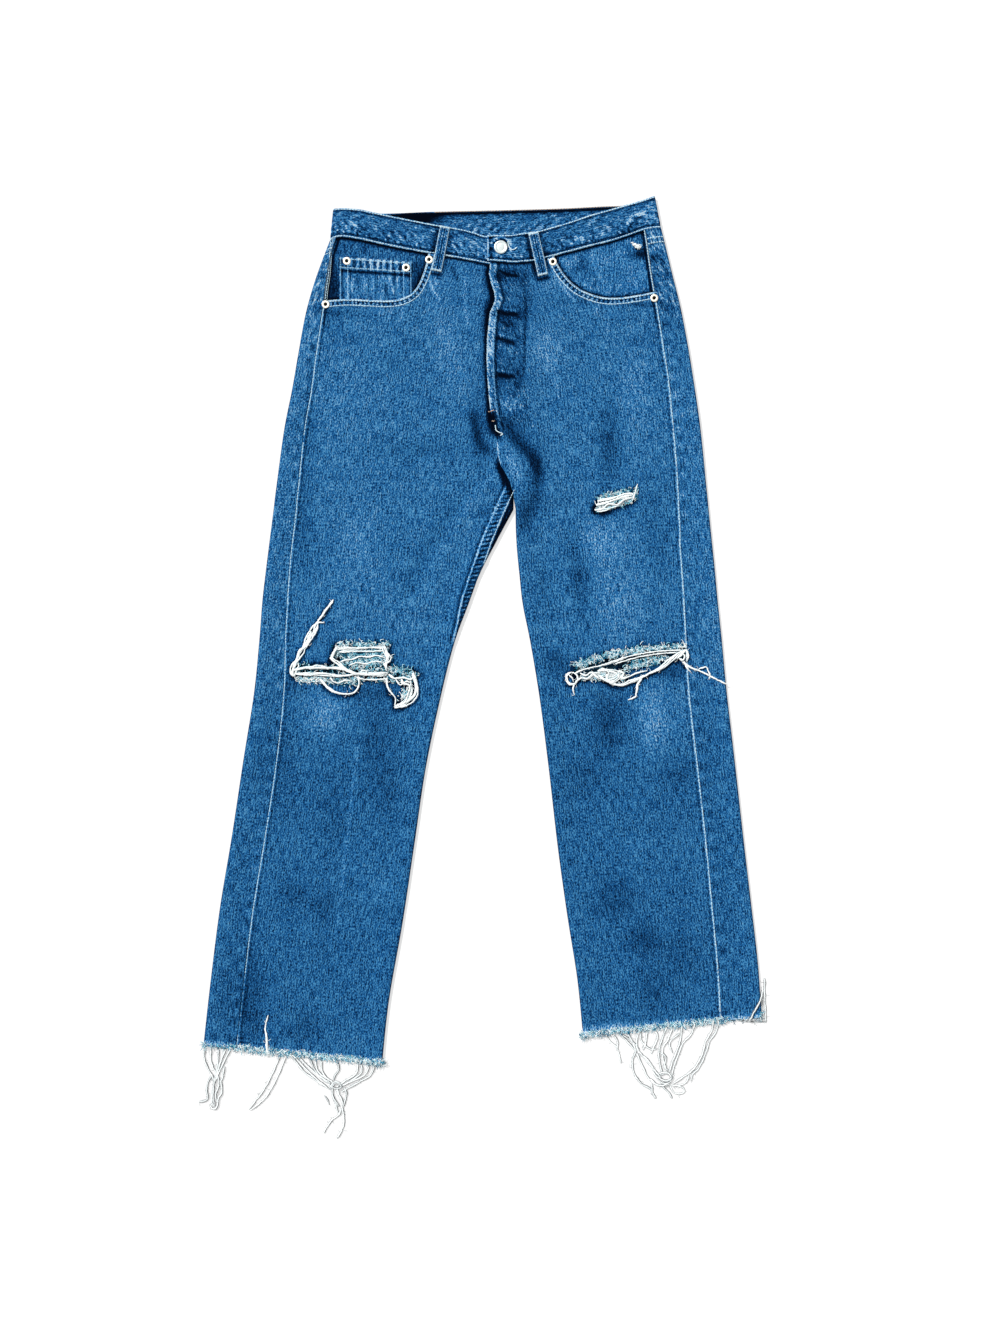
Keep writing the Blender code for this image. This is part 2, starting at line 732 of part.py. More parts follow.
def build_belt_loops(denim):
    """Two loops lie over the front of the waistband, three under its back."""
    half = LOOP_WIDTH / 2.0
    for side, loop in FRONT_LOOPS.items():
        grid = []
        steps = 7
        for k in range(steps + 1):
            share = k / steps
            x = loop.top_x + (loop.low_x - loop.top_x) * share
            y = loop.top_y + (loop.low_y - loop.top_y) * share
            heights = [front_height(side, x + d, y) for d in (-half, half)]
            if y > row_level(hip_round(side, 0), x) - loop_bridge(side):
                heights += [band_height(x + d) for d in (-half, half)]
            z = max(heights) + LAY_GAP + LOOP_WALL
            grid.append([(Vector((x + d, y, z)), Vector((0, 0, 1))) for d in (-half, half)])
        add_object(loop.name, wall_mesh(loop.name, grid, LOOP_WALL), denim)
    for loop in BACK_LOOPS:
        outline = [
            (loop.top_x - half, loop.top_y), (loop.low_x - half, loop.low_y),
            (loop.low_x + half, loop.low_y), (loop.top_x + half, loop.top_y),
        ]
        add_object(loop.name, plate_mesh(loop.name, outline, 0.0, LOOP_WALL), denim)


def loop_bridge(side):
    """How far below the waist seam a loop still bridges before it meets the panel."""
    loop = FRONT_LOOPS[side]
    return (loop.top_y - loop.low_y) / 7.0


def build_hardware(metal, copper):
    x, y = WAIST_BUTTON
    seat = BANDS["right"].height + SEAM_GAP
    head = BANDS["left"].height + SEAM_GAP
    profile = (
        (0.0, seat), (2.6, seat), (2.6, head), (7.4, head), (BUTTON_RADIUS, head + 0.8),
        (BUTTON_RADIUS, head + 1.8), (7.6, head + 2.6), (5.6, head + 2.2), (0.0, head + 2.4),
    )
    add_object("waist_button", turned_mesh("waist_button", profile, (x, y), 20), metal)
    for name, (x, y) in RIVETS.items():
        side = "right" if x < 0.0 else "left"
        reach = RIVET_RADIUS * 0.7
        spots = [(x + i * reach, y + j * reach) for i in (-1, 0, 1) for j in (-1, 0, 1)]
        seat = max(front_height(side, *spot) for spot in spots) + LAY_GAP
        if name.startswith("rivet_coin"):
            seat -= COIN_DEPTH
        profile = (
            (0.0, seat), (RIVET_RADIUS, seat), (RIVET_RADIUS, seat + 0.5),
            (RIVET_RADIUS - 1.1, seat + RIVET_HEIGHT), (1.8, seat + RIVET_HEIGHT - 0.3),
            (0.0, seat + RIVET_HEIGHT - 0.3),
        )
        add_object(name, turned_mesh(name, profile, (x, y), 12), copper)


def build_threads(yarn):
    """Loose yarns over the rips, and the reach of the threads at the cut hems."""
    for strand in STRANDS:
        grid = []
        corners = [Vector(point) for point in strand.route]
        route = corners[:1]
        for start, end in zip(corners, corners[1:]):
            steps = math.ceil((end - start).length / STRAND_STEP)
            route += [start.lerp(end, (k + 1) / steps) for k in range(steps)]
        for k, point in enumerate(route):
            before, after = route[max(k - 1, 0)], route[min(k + 1, len(route) - 1)]
            along = ((point - before).normalized() + (after - point).normalized()).normalized()
            across = Vector((-along.y, along.x)) * (strand.width / 2.0)
            spots = [point + across, point - across]
            z = max(front_height(strand.side, *spot) for spot in spots) + LAY_GAP + DENIM
            grid.append([(Vector((*spot, z)), Vector((0, 0, 1))) for spot in spots])
        add_object(strand.name, wall_mesh(strand.name, grid, DENIM), yarn)
    for name, outline in FRINGES.items():
        add_object(name, plate_mesh(name, outline, 0.0, FRINGE_HEIGHT), yarn)


def main():
    for thing in list(bpy.data.objects):
        bpy.data.objects.remove(thing, do_unlink=True)
    denim = finish("indigo denim", (0.027, 0.14, 0.35), 0.9)
    dark_denim = finish("indigo denim in the pocket", (0.02, 0.10, 0.26), 0.9)
    yarn = finish("undyed cotton yarn", (0.82, 0.92, 0.92), 0.9)
    metal = finish("nickelled button", (0.75, 0.80, 0.80), 0.35, 1.0)
    copper = finish("worn copper rivet", (0.75, 0.68, 0.55), 0.4, 1.0)
    build_panels(denim)
    build_waistband(denim)
    build_front_pockets(dark_denim)
    build_fly(dark_denim, metal)
    build_back_pockets(denim)
    build_belt_loops(denim)
    build_hardware(metal, copper)
    build_threads(yarn)


main()
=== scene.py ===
"""Ripped five-pocket jeans of stonewashed denim, laid flat with the front side up.

Sizes in the tables are millimetres, and MM turns them to metres where a mesh is made.
+Z is up, +Y runs from the hems to the waist, and +X runs towards the wearer's left side.
Each panel is a sheet lofted along rows, and a row runs round one leg or round half of the seat.
"""

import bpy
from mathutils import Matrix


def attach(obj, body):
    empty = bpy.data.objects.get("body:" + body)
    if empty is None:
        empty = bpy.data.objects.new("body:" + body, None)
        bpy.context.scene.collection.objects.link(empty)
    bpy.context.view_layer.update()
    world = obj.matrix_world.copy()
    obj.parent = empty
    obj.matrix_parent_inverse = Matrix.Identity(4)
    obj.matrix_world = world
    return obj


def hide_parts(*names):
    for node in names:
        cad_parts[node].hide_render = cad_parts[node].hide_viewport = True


bl_info = {
    "name": "Ripped jeans",
    "version": (1, 0, 0),
    "blender": (4, 5, 0),
    "location": "View3D > Sidebar > Jeans",
    "description": "Dresses the packed model of a pair of ripped jeans",
    "category": "Object",
}

import math
from collections import namedtuple

import bpy
import numpy as np
from mathutils import Vector
from mathutils.bvhtree import BVHTree

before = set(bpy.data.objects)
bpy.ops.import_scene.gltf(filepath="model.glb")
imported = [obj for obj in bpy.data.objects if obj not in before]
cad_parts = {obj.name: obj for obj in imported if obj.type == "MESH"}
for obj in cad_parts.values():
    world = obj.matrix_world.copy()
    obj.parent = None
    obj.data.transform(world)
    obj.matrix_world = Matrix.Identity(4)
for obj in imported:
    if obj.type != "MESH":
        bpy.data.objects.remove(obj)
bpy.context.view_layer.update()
MM = 0.001

# ---------------------------------------------------------------- form of the cloth, in mm

LEG_BASE = 0.0
LEG_SIDE = 6.0
LEG_MIDDLE = 3.6
CROTCH_Y = 190.0
HEM_DROP = 21.6  # how much lower the hem is at the inseam than at the outer fold
SHOULDER = 28.0  # width over which a layer sinks beside a fold
FLY_WIDTH = 44.0

# Seat rows from the waist seam down.  y and outer are at the outer fold, seam is the outseam's
# distance inside it, centre_y the level at the centre, arch the bow, then heights of the outside.
# y outer seam centre_y arch base side middle centre
HIPS = {
    "right": (
        (513.3, -182.5, 7.5, 484, 6, 2.1, 7.8, 7.8, 6.2),
        (494, -190, 8.5, 466, 5, 2.1, 7.8, 7.8, 6.2),
        (462, -201.5, 14, 439, 3, 1.5, 7.8, 7.8, 6.2),
        (425, -211.8, 19.6, 408, 2, 1.5, 7.5, 7.2, 6.2),
        (380, -220.2, 20.8, 368, 0, 1.5, 7, 5.6, 6.2),
        (335, -228, 22.6, 328, 0, 1.5, 6.8, 5.2, 6.2),
        (290, -237, 23.8, 287, 0, 1.5, 6.8, 5, 5.8),
        (245, -243.5, 25, 243.5, 0, 0.6, 6.4, 4.4, 5.2),
        (226, -246, 25.6, 225, 0, 0.3, 6.2, 4.2, 5.1),
        (205, -248.8, 26, 205, 0, 0, 6, 3.8, 5),
    ),
    "left": (
        (528, 215, 19, 488, -10, 2.1, 7.8, 7.8, 8.8),
        (510, 219.5, 20.5, 470, -8, 2.1, 7.8, 7.8, 8.8),
        (475, 228, 24, 442, -5, 1.5, 7.8, 7.8, 8.8),
        (435, 238, 27, 409, -3, 1.5, 7.5, 7.2, 8.6),
        (390, 246.8, 28.6, 372, -1, 1.5, 7, 5.6, 8.6),
        (345, 254.2, 29.2, 334, 0, 1.5, 6.8, 5.2, 8.4),
        (295, 261.5, 31.4, 290, 0, 1.5, 6.8, 5, 7.4),
        (245, 267, 32.5, 243, 0, 0.6, 6.4, 4.4, 7),
        (226, 268.8, 33.2, 225, 0, 0.3, 6.2, 4.2, 6.8),
        (205, 271, 34, 205, 0, 0, 6, 3.8, 6.6),
    ),
}
# The same rows at the centre: the right front's hidden edge, then the seat seam
# under_x back_y back_x
CENTRE = (
    (14, 513, 15),
    (15, 451, 15),
    (17, 425, 15.5),
    (17, 393, 16.5),
    (15, 355, 18),
    (15, 318, 20.5),
    (21, 280, 25),
    (28, 240, 32),
    (33.5, 222, 35.5),
    (35.5, 203, 38),
)
# Leg rows.  wrap is how far past the inner fold the inseam lies: + on the front, - underneath.
# y outer seam inner wrap
LEGS = {
    "right": (
        (190, -250.5, 26.5, 37.8, 0),
        (168, -253.3, 26.7, 25.4, 9),
        (143, -256.5, 27, 11.9, 14),
        (115, -260, 27.8, -2.9, 12.5),
        (80, -264, 29.5, -16.4, 9),
        (35, -267.5, 30.6, -33.3, 1),
        (-30, -274, 35, -50.2, -6),
        (-110, -286.7, 39, -67.5, -8),
        (-200, -300.3, 39, -81.4, -8),
        (-290, -315.2, 39, -95.4, -8),
        (-380, -326.6, 39, -111.7, -8),
        (-453.6, -334.8, 39, -120, -8),
    ),
    "left": (
        (190, 272.4, 35, 40.3, -1),
        (168, 274.6, 36, 40.6, -4),
        (143, 277.2, 38, 42, -8),
        (115, 280.1, 38.7, 44.9, -8),
        (80, 283.3, 39.6, 49, -8),
        (35, 288, 42, 58.3, -8),
        (-30, 294.2, 44.4, 69.4, -8),
        (-110, 303.5, 44.4, 80.1, -8),
        (-200, 313.6, 44.4, 90.8, -8),
        (-280, 323, 46, 102.3, -8),
        (-355, 331.6, 47.5, 114.5, -8),
        (-420, 336, 48, 121.2, -8),
    ),
}
# How the waist seam bows across the front, by share of the way from the outer fold to the centre
WAIST_BOW = {
    "right": ((0, 0), (0.06, 5.2), (0.18, 5.7), (0.3, 3.9), (0.45, 2.2), (0.62, 1.6), (1, 0)),
    "left": (
        (0, 0), (0.06, 1.3), (0.12, 0.4), (0.18, -1.8), (0.3, -4.9), (0.41, -5.9), (0.53, -7.7),
        (0.66, -9.5), (0.74, -10.4), (0.85, -8.4), (0.94, -3.2), (1, 0),
    ),
}
# The free edge of the fly, from the waist seam down to the crotch
FLY_EDGE = (
    (9.6, 484), (8.4, 472), (11, 460), (14.4, 451), (15.6, 442), (13.2, 434), (9.6, 427), (7.8, 412),
    (6, 394), (5.4, 370), (6.6, 346), (8.4, 322), (10.5, 305), (17, 274), (19, 256), (22.5, 243),
    (28, 234), (33.6, 223), (37.2, 211), (40.3, 190),
)

# Waistband.  Each edge is a table of (x, y) across the front and a sag of the back's edge by share
# of the way from the outer fold to the centre back.
BAND_LOW = {
    "right": (
        (-182.5, 513.3), (-170, 517), (-146, 513.8), (-122, 508.4), (-98, 503.4), (-74, 499), (-50, 495),
        (-32, 492), (-8, 487.6), (8, 484.5), (44, 480),
    ),
    "left": (
        (215, 528), (202, 526.8), (190, 523.6), (178, 519.2), (154, 511.4), (130, 505.6), (106, 499.2),
        (78, 491.8), (64, 488.2), (40, 485.6), (22, 487), (6.5, 488),
    ),
}
BAND_TOP = {
    "right": (
        (-178.8, 550.8), (-164, 551.4), (-146, 550), (-134, 547.4), (-110, 542.4), (-86, 537.6),
        (-62, 532.9), (-40, 529.2), (-20, 525.6), (-8, 522), (5, 518.2), (44, 514.2),
    ),
    "left": (
        (207.6, 566.4), (190, 560.4), (166, 553.6), (154, 550.2), (130, 543.4), (106, 535.4), (82, 528.2),
        (70, 525), (58, 522.8), (46, 520.8), (34, 519.2), (22, 519), (6.5, 518.6),
    ),
}
BACK_SAG = {
    "right": ((0, 0), (0.15, -3.6), (0.35, -4.3), (0.62, -2), (1, 0)),
    "left": ((0, 0), (0.08, -5.5), (0.19, -7.4), (0.34, -6.2), (0.6, -4.4), (1, 0)),
}
BAND_BACK_HEIGHT = 37.0
BAND_HEIGHTS = {"right": 7.2, "left": 9.9}  # of the outside at the centre front
END_LAP = 38.0
BAND_FALL = 16.0

Row = namedtuple("Row", "outer front back seam bow base side middle centre plateau fall wrap")


def smooth(table, places):
    """Values on a smooth curve through a table's rows, at places counted in rows."""
    table = np.asarray(table, float)
    places = np.clip(np.atleast_1d(places).astype(float), 0.0, len(table) - 1.0)
    low = np.minimum(places.astype(int), len(table) - 2)
    t = (places - low)[:, None]
    a, b = table[np.maximum(low - 1, 0)], table[low]
    c, d = table[low + 1], table[np.minimum(low + 2, len(table) - 1)]
    return 0.5 * (
        2.0 * b + (c - a) * t + (2.0 * a - 5.0 * b + 4.0 * c - d) * t**2
        + (3.0 * b - a - 3.0 * c + d) * t**3
    )


def curve_value(table, at):
    """Second column of a table at values of the first, which may rise or fall."""
    table = np.asarray(sorted(table), float)
    fine = smooth(table, np.linspace(0.0, len(table) - 1.0, 10 * len(table)))
    return np.interp(at, fine[:, 0], fine[:, 1])


def ease(u):
    """One at and below 0, nought at and above 1, level at both ends."""
    u = np.clip(u, 0.0, 1.0)
    return 1.0 - u * u * (3.0 - 2.0 * u)


def hip_row(side, place):
    y, outer, seam, centre_y, arch, base, rim, middle, centre = smooth(HIPS[side], place)[0]
    under_x, back_y, back_x = smooth(CENTRE, place)[0]
    if side == "left":
        fly = np.asarray(FLY_EDGE)[::-1]
        front_x = np.interp(centre_y, fly[:, 1], fly[:, 0])
    else:
        front_x = under_x
    return Row(
        (outer, y), (front_x, centre_y), (back_x, back_y), seam,
        (WAIST_BOW[side], arch / HIPS[side][0][4]), base, rim, middle, centre,
        FLY_WIDTH if side == "left" else 0.0, SHOULDER, None,
    )


def leg_row(side, place):
    y, outer, seam, inner, wrap = smooth(LEGS[side], place)[0]
    inner_y = y - HEM_DROP * (CROTCH_Y - y) / (CROTCH_Y - LEGS[side][-1][0])
    return Row(
        (outer, y), (inner, inner_y), (inner, inner_y), seam, None,
        LEG_BASE, LEG_SIDE, LEG_MIDDLE, LEG_SIDE, 0.0, SHOULDER, wrap,
    )


def fold_radius(row):
    return (row.side - row.base) / 2.0


def quarter(row):
    return math.pi * fold_radius(row) / 2.0


def flat_run(row, end):
    folds = 1 if row.wrap is None else 2
    return abs(end[0] - row.outer[0]) - folds * fold_radius(row)


def crown(row, run, flat):
    """Height of the front's outside, run in from the outer fold's shoulder."""
    beside_fold = ease(run / SHOULDER)
    beside_centre = ease((flat - run - row.plateau) / row.fall)
    return (
        row.middle
        + (row.side - row.middle) * beside_fold
        + (row.centre - row.middle) * beside_centre
    )


def seam_reach(row):
    return quarter(row) + row.seam - fold_radius(row)


def front_reach(row):
    reach = quarter(row) + flat_run(row, row.front)
    return reach if row.wrap is None else reach + quarter(row) - row.wrap


def back_reach(row):
    reach = quarter(row) + flat_run(row, row.back)
    return reach if row.wrap is None else reach + quarter(row) + row.wrap


def contour(row, s):
    """Outside points and normals, s round from the outer fold's edge: front +, underside -."""
    face = np.where(s >= 0.0, 1.0, -1.0)
    s = np.abs(s)
    radius, bend = fold_radius(row), quarter(row)
    end_x = np.where(face > 0.0, row.front[0], row.back[0])
    end_y = np.where(face > 0.0, row.front[1], row.back[1])
    folds = 1 if row.wrap is None else 2
    flat = np.abs(end_x - row.outer[0]) - folds * radius
    heart = row.base + radius
    past = s - bend - flat
    run = s - bend
    turn = np.minimum(s / radius, math.pi / 2.0)
    turned = np.clip(past / radius, 0.0, math.pi)
    crowned = crown(row, run, flat)
    across = np.where(s <= bend, radius - radius * np.cos(turn), radius + run)
    height = np.where(
        s <= bend, heart + face * radius * np.sin(turn), np.where(face > 0.0, crowned, row.base)
    )
    side_ways = np.where(s <= bend, -np.cos(turn), 0.0)
    up_ways = np.where(s <= bend, face * np.sin(turn), face)
    if row.wrap is not None:
        inner = (past > 0.0) & (past <= 2.0 * bend)
        beyond = past > 2.0 * bend
        back_run = flat - (past - 2.0 * bend)
        across = np.where(inner, radius + flat + radius * np.sin(turned), across)
        height = np.where(inner, heart + face * radius * np.cos(turned), height)
        side_ways = np.where(inner, np.sin(turned), side_ways)
        up_ways = np.where(inner, face * np.cos(turned), up_ways)
        across = np.where(beyond, radius + back_run, across)
        under = np.where(face > 0.0, row.base, crown(row, back_run, flat))
        height = np.where(beyond, under, height)
        up_ways = np.where(beyond, -face, up_ways)
    inward = 1.0 if row.outer[0] < 0.0 else -1.0
    share = np.clip(across / np.abs(end_x - row.outer[0]), 0.0, 1.0)
    y = row.outer[1] + (end_y - row.outer[1]) * share
    if row.bow is not None:
        table, strength = row.bow
        y = y + np.where(face > 0.0, curve_value(table, share) * strength, 0.0)
    points = np.stack([row.outer[0] + inward * across, y, height], axis=1)
    normals = np.stack([inward * side_ways, np.zeros(len(s)), up_ways], axis=1)
    return points, normals


# ---------------------------------------------------------------- wear and relief, in mm

# Soft troughs (height below 0) and ridges on the front: width, height, route
CREASES = {
    "right": (
        (15, 0.9, ((-58, 455), (-40, 400), (-22, 345))), (6, -0.9, ((-122, 266), (-82, 258), (-38, 266))),
        (8, -1, ((8, 240), (-40, 180), (-72, 130), (-88, 92))),
        (10, 0.8, ((8, 222), (-25, 180), (-50, 130), (-60, 80))),
        (6, -1.4, ((-4, 318), (-5, 285), (4, 256))), (8, -0.8, ((-211, 225), (-216, 165), (-211, 112))),
        (7, -0.6, ((-203, 305), (-206, 255))), (9, -0.7, ((-196, 438), (-176, 420))),
        (12, -0.9, ((-122, -50), (-128, -85), (-134, -130))), (10, -0.6, ((-178, -140), (-173, -210))),
        (10, 0.6, ((-150, -150), (-148, -240))), (9, -0.6, ((-240, -85), (-236, -150))),
        (12, -0.8, ((-232, -268), (-205, -276), (-186, -292))), (9, -0.6, ((-95, -288), (-112, -302))),
        (16, -1.1, ((-290, -345), (-284, -400), (-280, -445))), (12, -0.8, ((-205, -405), (-214, -450))),
        (14, 0.7, ((-250, -330), (-246, -430))),
    ),
    "left": (
        (6.5, -1.9, ((27, 294), (45, 270), (58, 250), (69, 230), (66, 204), (54, 168))),
        (8, 1.1, ((30, 268), (44, 240), (50, 214))), (9, 1.2, ((36, 330), (34, 304))),
        (9, -1, ((149, 298), (155, 264), (155, 232))), (9, -1, ((104, 152), (118, 118), (122, 68))),
        (8, -0.6, ((70, 150), (78, 105), (92, 60), (96, 20))),
        (14, 0.8, ((160, 160), (158, 105), (166, 50))), (13, -1.2, ((148, -32), (154, -60), (158, -96))),
        (12, 0.9, ((200, -36), (206, -92))), (14, -0.6, ((128, -118), (120, -152))),
        (12, -0.7, ((228, -108), (242, -142))), (14, -0.9, ((158, -258), (166, -300))),
        (12, -0.9, ((188, -310), (200, -342))), (12, -0.6, ((208, -368), (204, -410))),
        (14, 0.7, ((84, 415), (76, 360))), (4, -1.3, ((12, 474), (28, 470), (44, 473))),
        (5, -1.6, ((12, 424), (28, 421), (48, 426))), (4, -1.1, ((10, 394), (26, 391), (46, 395))),
        (4.5, -1.4, ((9, 352), (26, 349), (44, 356))), (9, 1.2, ((22, 412), (36, 411))),
        (9, 1, ((22, 459), (36, 459))), (9, 0.8, ((22, 370), (34, 369))),
        (8, -0.9, ((100, 455), (122, 440), (150, 434))),
    ),
}
# The same kind of folds under the seat and legs, where height is always up off the floor
BACK_CREASES = {
    "right": (
        (10, 0.9, ((-40, 250), (-90, 232), (-140, 238))), (9, 0.8, ((-10, 215), (-60, 180), (-100, 130))),
        (12, 0.8, ((-150, 30), (-180, -10), (-210, -20))), (12, 0.7, ((-170, -120), (-176, -200))),
        (14, 0.8, ((-240, -330), (-236, -420))),
    ),
    "left": (
        (10, 0.9, ((70, 246), (115, 230), (165, 240))), (9, 0.8, ((50, 205), (90, 176), (130, 120))),
        (12, 0.8, ((120, 26), (160, -8), (200, -14))), (12, 0.7, ((190, -130), (184, -210))),
        (14, 0.8, ((230, -300), (236, -390))),
    ),
}
# Patches that are more (+) or less (-) washed out, some dark ones being painted shade at the fly's foot
# and under the knee yarns: x, y, reach across, reach along, tilt, amount
PATCHES_OF_WEAR_AND_SHADE = {
    "right": (
        (-40, 390, 16, 60, 14, 0.5), (-165, 330, 45, 70, 0, 0.25), (-190, 430, 26, 18, 0, -0.6),
        (-110, 366, 16, 10, 0, -0.4), (-78, 261, 48, 8, 0, -0.7), (-213, 170, 9, 62, 0, -0.6),
        (-205, 280, 9, 26, 0, -0.4), (-4, 285, 10, 36, 0, -1.3), (-38, 178, 9, 62, -38, -0.6),
        (-18, 196, 10, 52, -34, 0.5), (-150, 150, 24, 60, 0, 0.4), (-82, 108, 9, 32, -24, -0.4),
        (-225, -22, 14, 8, 0, -0.9), (-132, -30, 36, 8, 0, -1.1), (-188, -54, 24, 26, 0, 1.15),
        (-126, -76, 16, 34, 0, -0.6), (-128, -125, 24, 38, 0, -0.45), (-236, -112, 12, 44, 0, -0.5),
        (-268, -135, 12, 34, 0, -0.5), (-175, -172, 16, 44, 0, -0.5), (-112, -150, 14, 26, 0, -0.4),
        (-226, -274, 15, 14, 0, -0.6), (-189, -286, 18, 17, 0, -0.8), (-102, -296, 14, 9, 0, -0.6),
        (-124, -262, 15, 22, 0, 0.4), (-146, -238, 12, 22, 0, 0.3), (-285, -398, 24, 52, 0, -1.2),
        (-210, -430, 18, 16, 0, -0.8), (-268, -235, 12, 40, 0, 0.35), (-160, -445, 30, 10, 0, 0.3),
        (-275, -170, 12, 30, 0, 0.4), (-96, 60, 30, 40, 0, 0.15), (-205, 400, 12, 60, 0, 0.5),
    ),
    "left": (
        (28, 471, 24, 6, 0, -1.6), (28, 422, 25, 7, 0, -2), (26, 392, 22, 5, 0, -1.2),
        (25, 351, 23, 8, 0, -1.5), (28, 447, 20, 8, 0, 0.3), (35, 315, 16, 13, 0, 1.3),
        (62, 490, 7, 16, 0, -1), (84, 470, 14, 16, 0, 0.5), (76, 382, 20, 26, 0, 0.7),
        (50, 270, 7, 30, 34, -1.5), (66, 226, 8, 34, 0, -1.8), (52, 184, 11, 22, 0, -1.5),
        (39, 246, 9, 17, 20, 0.2), (13, 294, 4.5, 12, 4, -4.6), (26, 228, 7, 30, 22, -0.8),
        (153, 270, 12, 40, 0, -1.3), (116, 112, 11, 48, 8, -1.1), (76, 100, 12, 34, 8, -0.5),
        (90, 6, 17, 12, 0, -1.2), (140, 152, 26, 22, 0, 0.9), (164, 80, 26, 50, 0, 0.6),
        (182, 330, 20, 50, 0, 0.5), (236, 330, 8, 40, 0, 0.4), (229, 430, 8, 54, 6, -1),
        (241, 360, 7, 44, 4, -0.7), (214, 160, 13, 60, 0, -0.4), (226, -2, 15, 10, 0, -1.3),
        (154, -64, 20, 36, 0, -1.3), (124, -132, 24, 20, 0, -0.6), (206, -62, 20, 42, 0, 1.25),
        (246, -52, 14, 30, 0, 0.4), (235, -126, 20, 16, 0, -0.7), (160, -280, 24, 22, 0, -1.1),
        (195, -326, 20, 16, 0, -1.2), (206, -390, 20, 26, 0, -0.8), (240, -346, 24, 30, 0, -0.6),
        (186, -214, 16, 16, 0, 0.35), (118, -340, 14, 44, 0, 0.3), (120, 440, 36, 6, -8, -0.5),
        (200, 200, 12, 30, 0, -0.3), (285, 40, 8, 60, 0, 0.4), (180, -10, 40, 8, 0, -0.7),
        (262, -250, 14, 70, 0, 0.2), (208, 493, 9, 6, -20, -3), (208, 472, 6, 14, 10, -1.4),
        (216, 430, 6, 24, 8, -1),
    ),
}
# Streaks of wear (above 0), and of unwashed dye and painted shade in creases, folds and gaps (below 0);
# the black at the crotch gap is painted shade, and the light rims of the fly's dark bars are painted
# highlight: width, amount, route
STREAKS = {
    "right": (
        (5, -2, ((-12, 304), (-4, 272), (12, 256))),
        (4.6, -11, ((20, 246), (27, 232), (35, 216), (41, 197))),
        (1.5, 1.8, ((-65, 469), (-58, 452), (-51, 441))), (2, -1.8, ((-38, 484), (-34, 474), (-28, 464))),
        (1.6, 1.3, ((-60, 480), (-56, 466), (-54, 456))), (1.6, 1, ((-20, 470), (-22, 440), (-16, 410))),
        (2.2, -1.4, ((-186, 428), (-176, 424), (-160, 428))), (1.8, 1, ((-120, 432), (-122, 420))),
        (1.8, 1, ((-108, 432), (-112, 418))), (1.8, 1, ((-94, 432), (-98, 416))),
        (2.5, -1, ((-202, 400), (-208, 340), (-214, 260))),
        (1.8, 0.9, ((-148, -85), (-156, -150), (-164, -220), (-175, -320))),
    ),
    "left": (
        (1.8, -3.6, ((20, 477), (32, 471), (45, 470))), (2, -4.4, ((17, 428), (28, 425), (44, 424))),
        (2.4, -2.8, ((23, 416), (30, 410), (38, 412))), (1.8, -3.8, ((17, 397), (27, 393), (40, 388))),
        (2.2, -4.6, ((17, 352), (28, 350), (39, 349))),
        (1.3, 2.6, ((17, 357.5), (28, 355.5), (38, 354.5))),
        (1.4, 2.2, ((18, 432), (30, 429.5), (44, 428.5))), (1.3, 2, ((18, 401), (30, 397.5), (42, 393))),
        (1.6, -1.6, ((51, 474), (52, 430), (51, 380), (48, 350), (38, 325), (25, 304))),
        (4.6, -6, ((10, 307), (12, 296), (16, 284), (20, 276))),
        (6, -2, ((27, 297), (39, 273), (52, 261), (64, 248), (68, 229))),
        (1.3, 3.6, ((18, 272), (19.5, 256), (22, 244))), (5, 0.6, ((30, 262), (38, 240), (46, 218))),
        (1.4, 1.6, ((92, 466), (100, 452), (112, 440))), (1.6, 1.2, ((140, 438), (136, 424))),
        (2, -1.8, ((172, 438), (190, 436), (203, 434))), (1.4, 1.4, ((205, 505), (214, 505.5))),
        (1.8, -2.2, ((214, 495), (218, 486), (222, 470))), (1.3, 2, ((217, 500), (221, 488), (226, 474))),
        (2.6, -4.6, ((133, 192), (136, 187), (145, 184.5), (155, 187.5))),
        (1.6, 0.9, ((87, 370), (88, 345), (92, 322))), (1.4, 0.8, ((150, 420), (150, 400))),
    ),
}
# One unit of wear or of painted shade adds this step to the cloth's tone.
WEAR_AND_SHADE_STEP = 0.13  # what one unit of wear adds to the cloth's tone

# Front pocket mouths, from the waist seam to the outseam
MOUTHS = {
    "right": (
        (-64, 497), (-66, 487), (-69.6, 475), (-74.4, 462.5), (-80.4, 453), (-88, 446.6), (-98.4, 442.4),
        (-112, 440.6), (-134.4, 441.2), (-158.4, 442.4), (-178, 441.4), (-188, 440),
    ),
    "left": (
        (86, 494), (90, 485.5), (96, 475.5), (105.6, 463.6), (117.6, 454.4), (129.6, 448.8),
        (141.6, 445.2), (153.6, 443.8), (167, 444.2), (184, 446.6), (204, 450.4), (210, 451.6),
    ),
}
INSEAM_ROW = (
    (35, -22.2), (51, -18.2), (62, -15.8), (83, -11.6), (98, -6.4), (110, -2.6), (150, 11), (186, 26),
    (203, 33.8), (218, 41),
)
MOUTH_HEM = 8.4

# Rips: each slit is a pointed lens between two ends
Slit = namedtuple("Slit", "side start end height")
SLITS = (
    Slit("right", (-224, -2), (-160, -3), 8), Slit("right", (-158, -5), (-84, -9.5), 10),
    Slit("right", (-174, 12), (-115, 13), 18), Slit("left", (108, -7), (172, 7), 13),
    Slit("left", (168, 6), (243, 22), 12), Slit("left", (138, 194), (179, 202), 9),
)


def near_route(x, y, route):
    """Distance from a route of straight runs, and the share of the way along it."""
    route = np.asarray(route, float)
    lengths = np.linalg.norm(np.diff(route, axis=0), axis=1)
    best, share, done = np.full(x.shape, 1e9), np.zeros(x.shape), 0.0
    for start, end, length in zip(route, route[1:], lengths):
        way = (end - start) / length
        t = np.clip((x - start[0]) * way[0] + (y - start[1]) * way[1], 0.0, length)
        gap = np.hypot(x - start[0] - t * way[0], y - start[1] - t * way[1])
        closer = gap < best
        best = np.where(closer, gap, best)
        share = np.where(closer, (done + t) / lengths.sum(), share)
        done += length
    return best, share


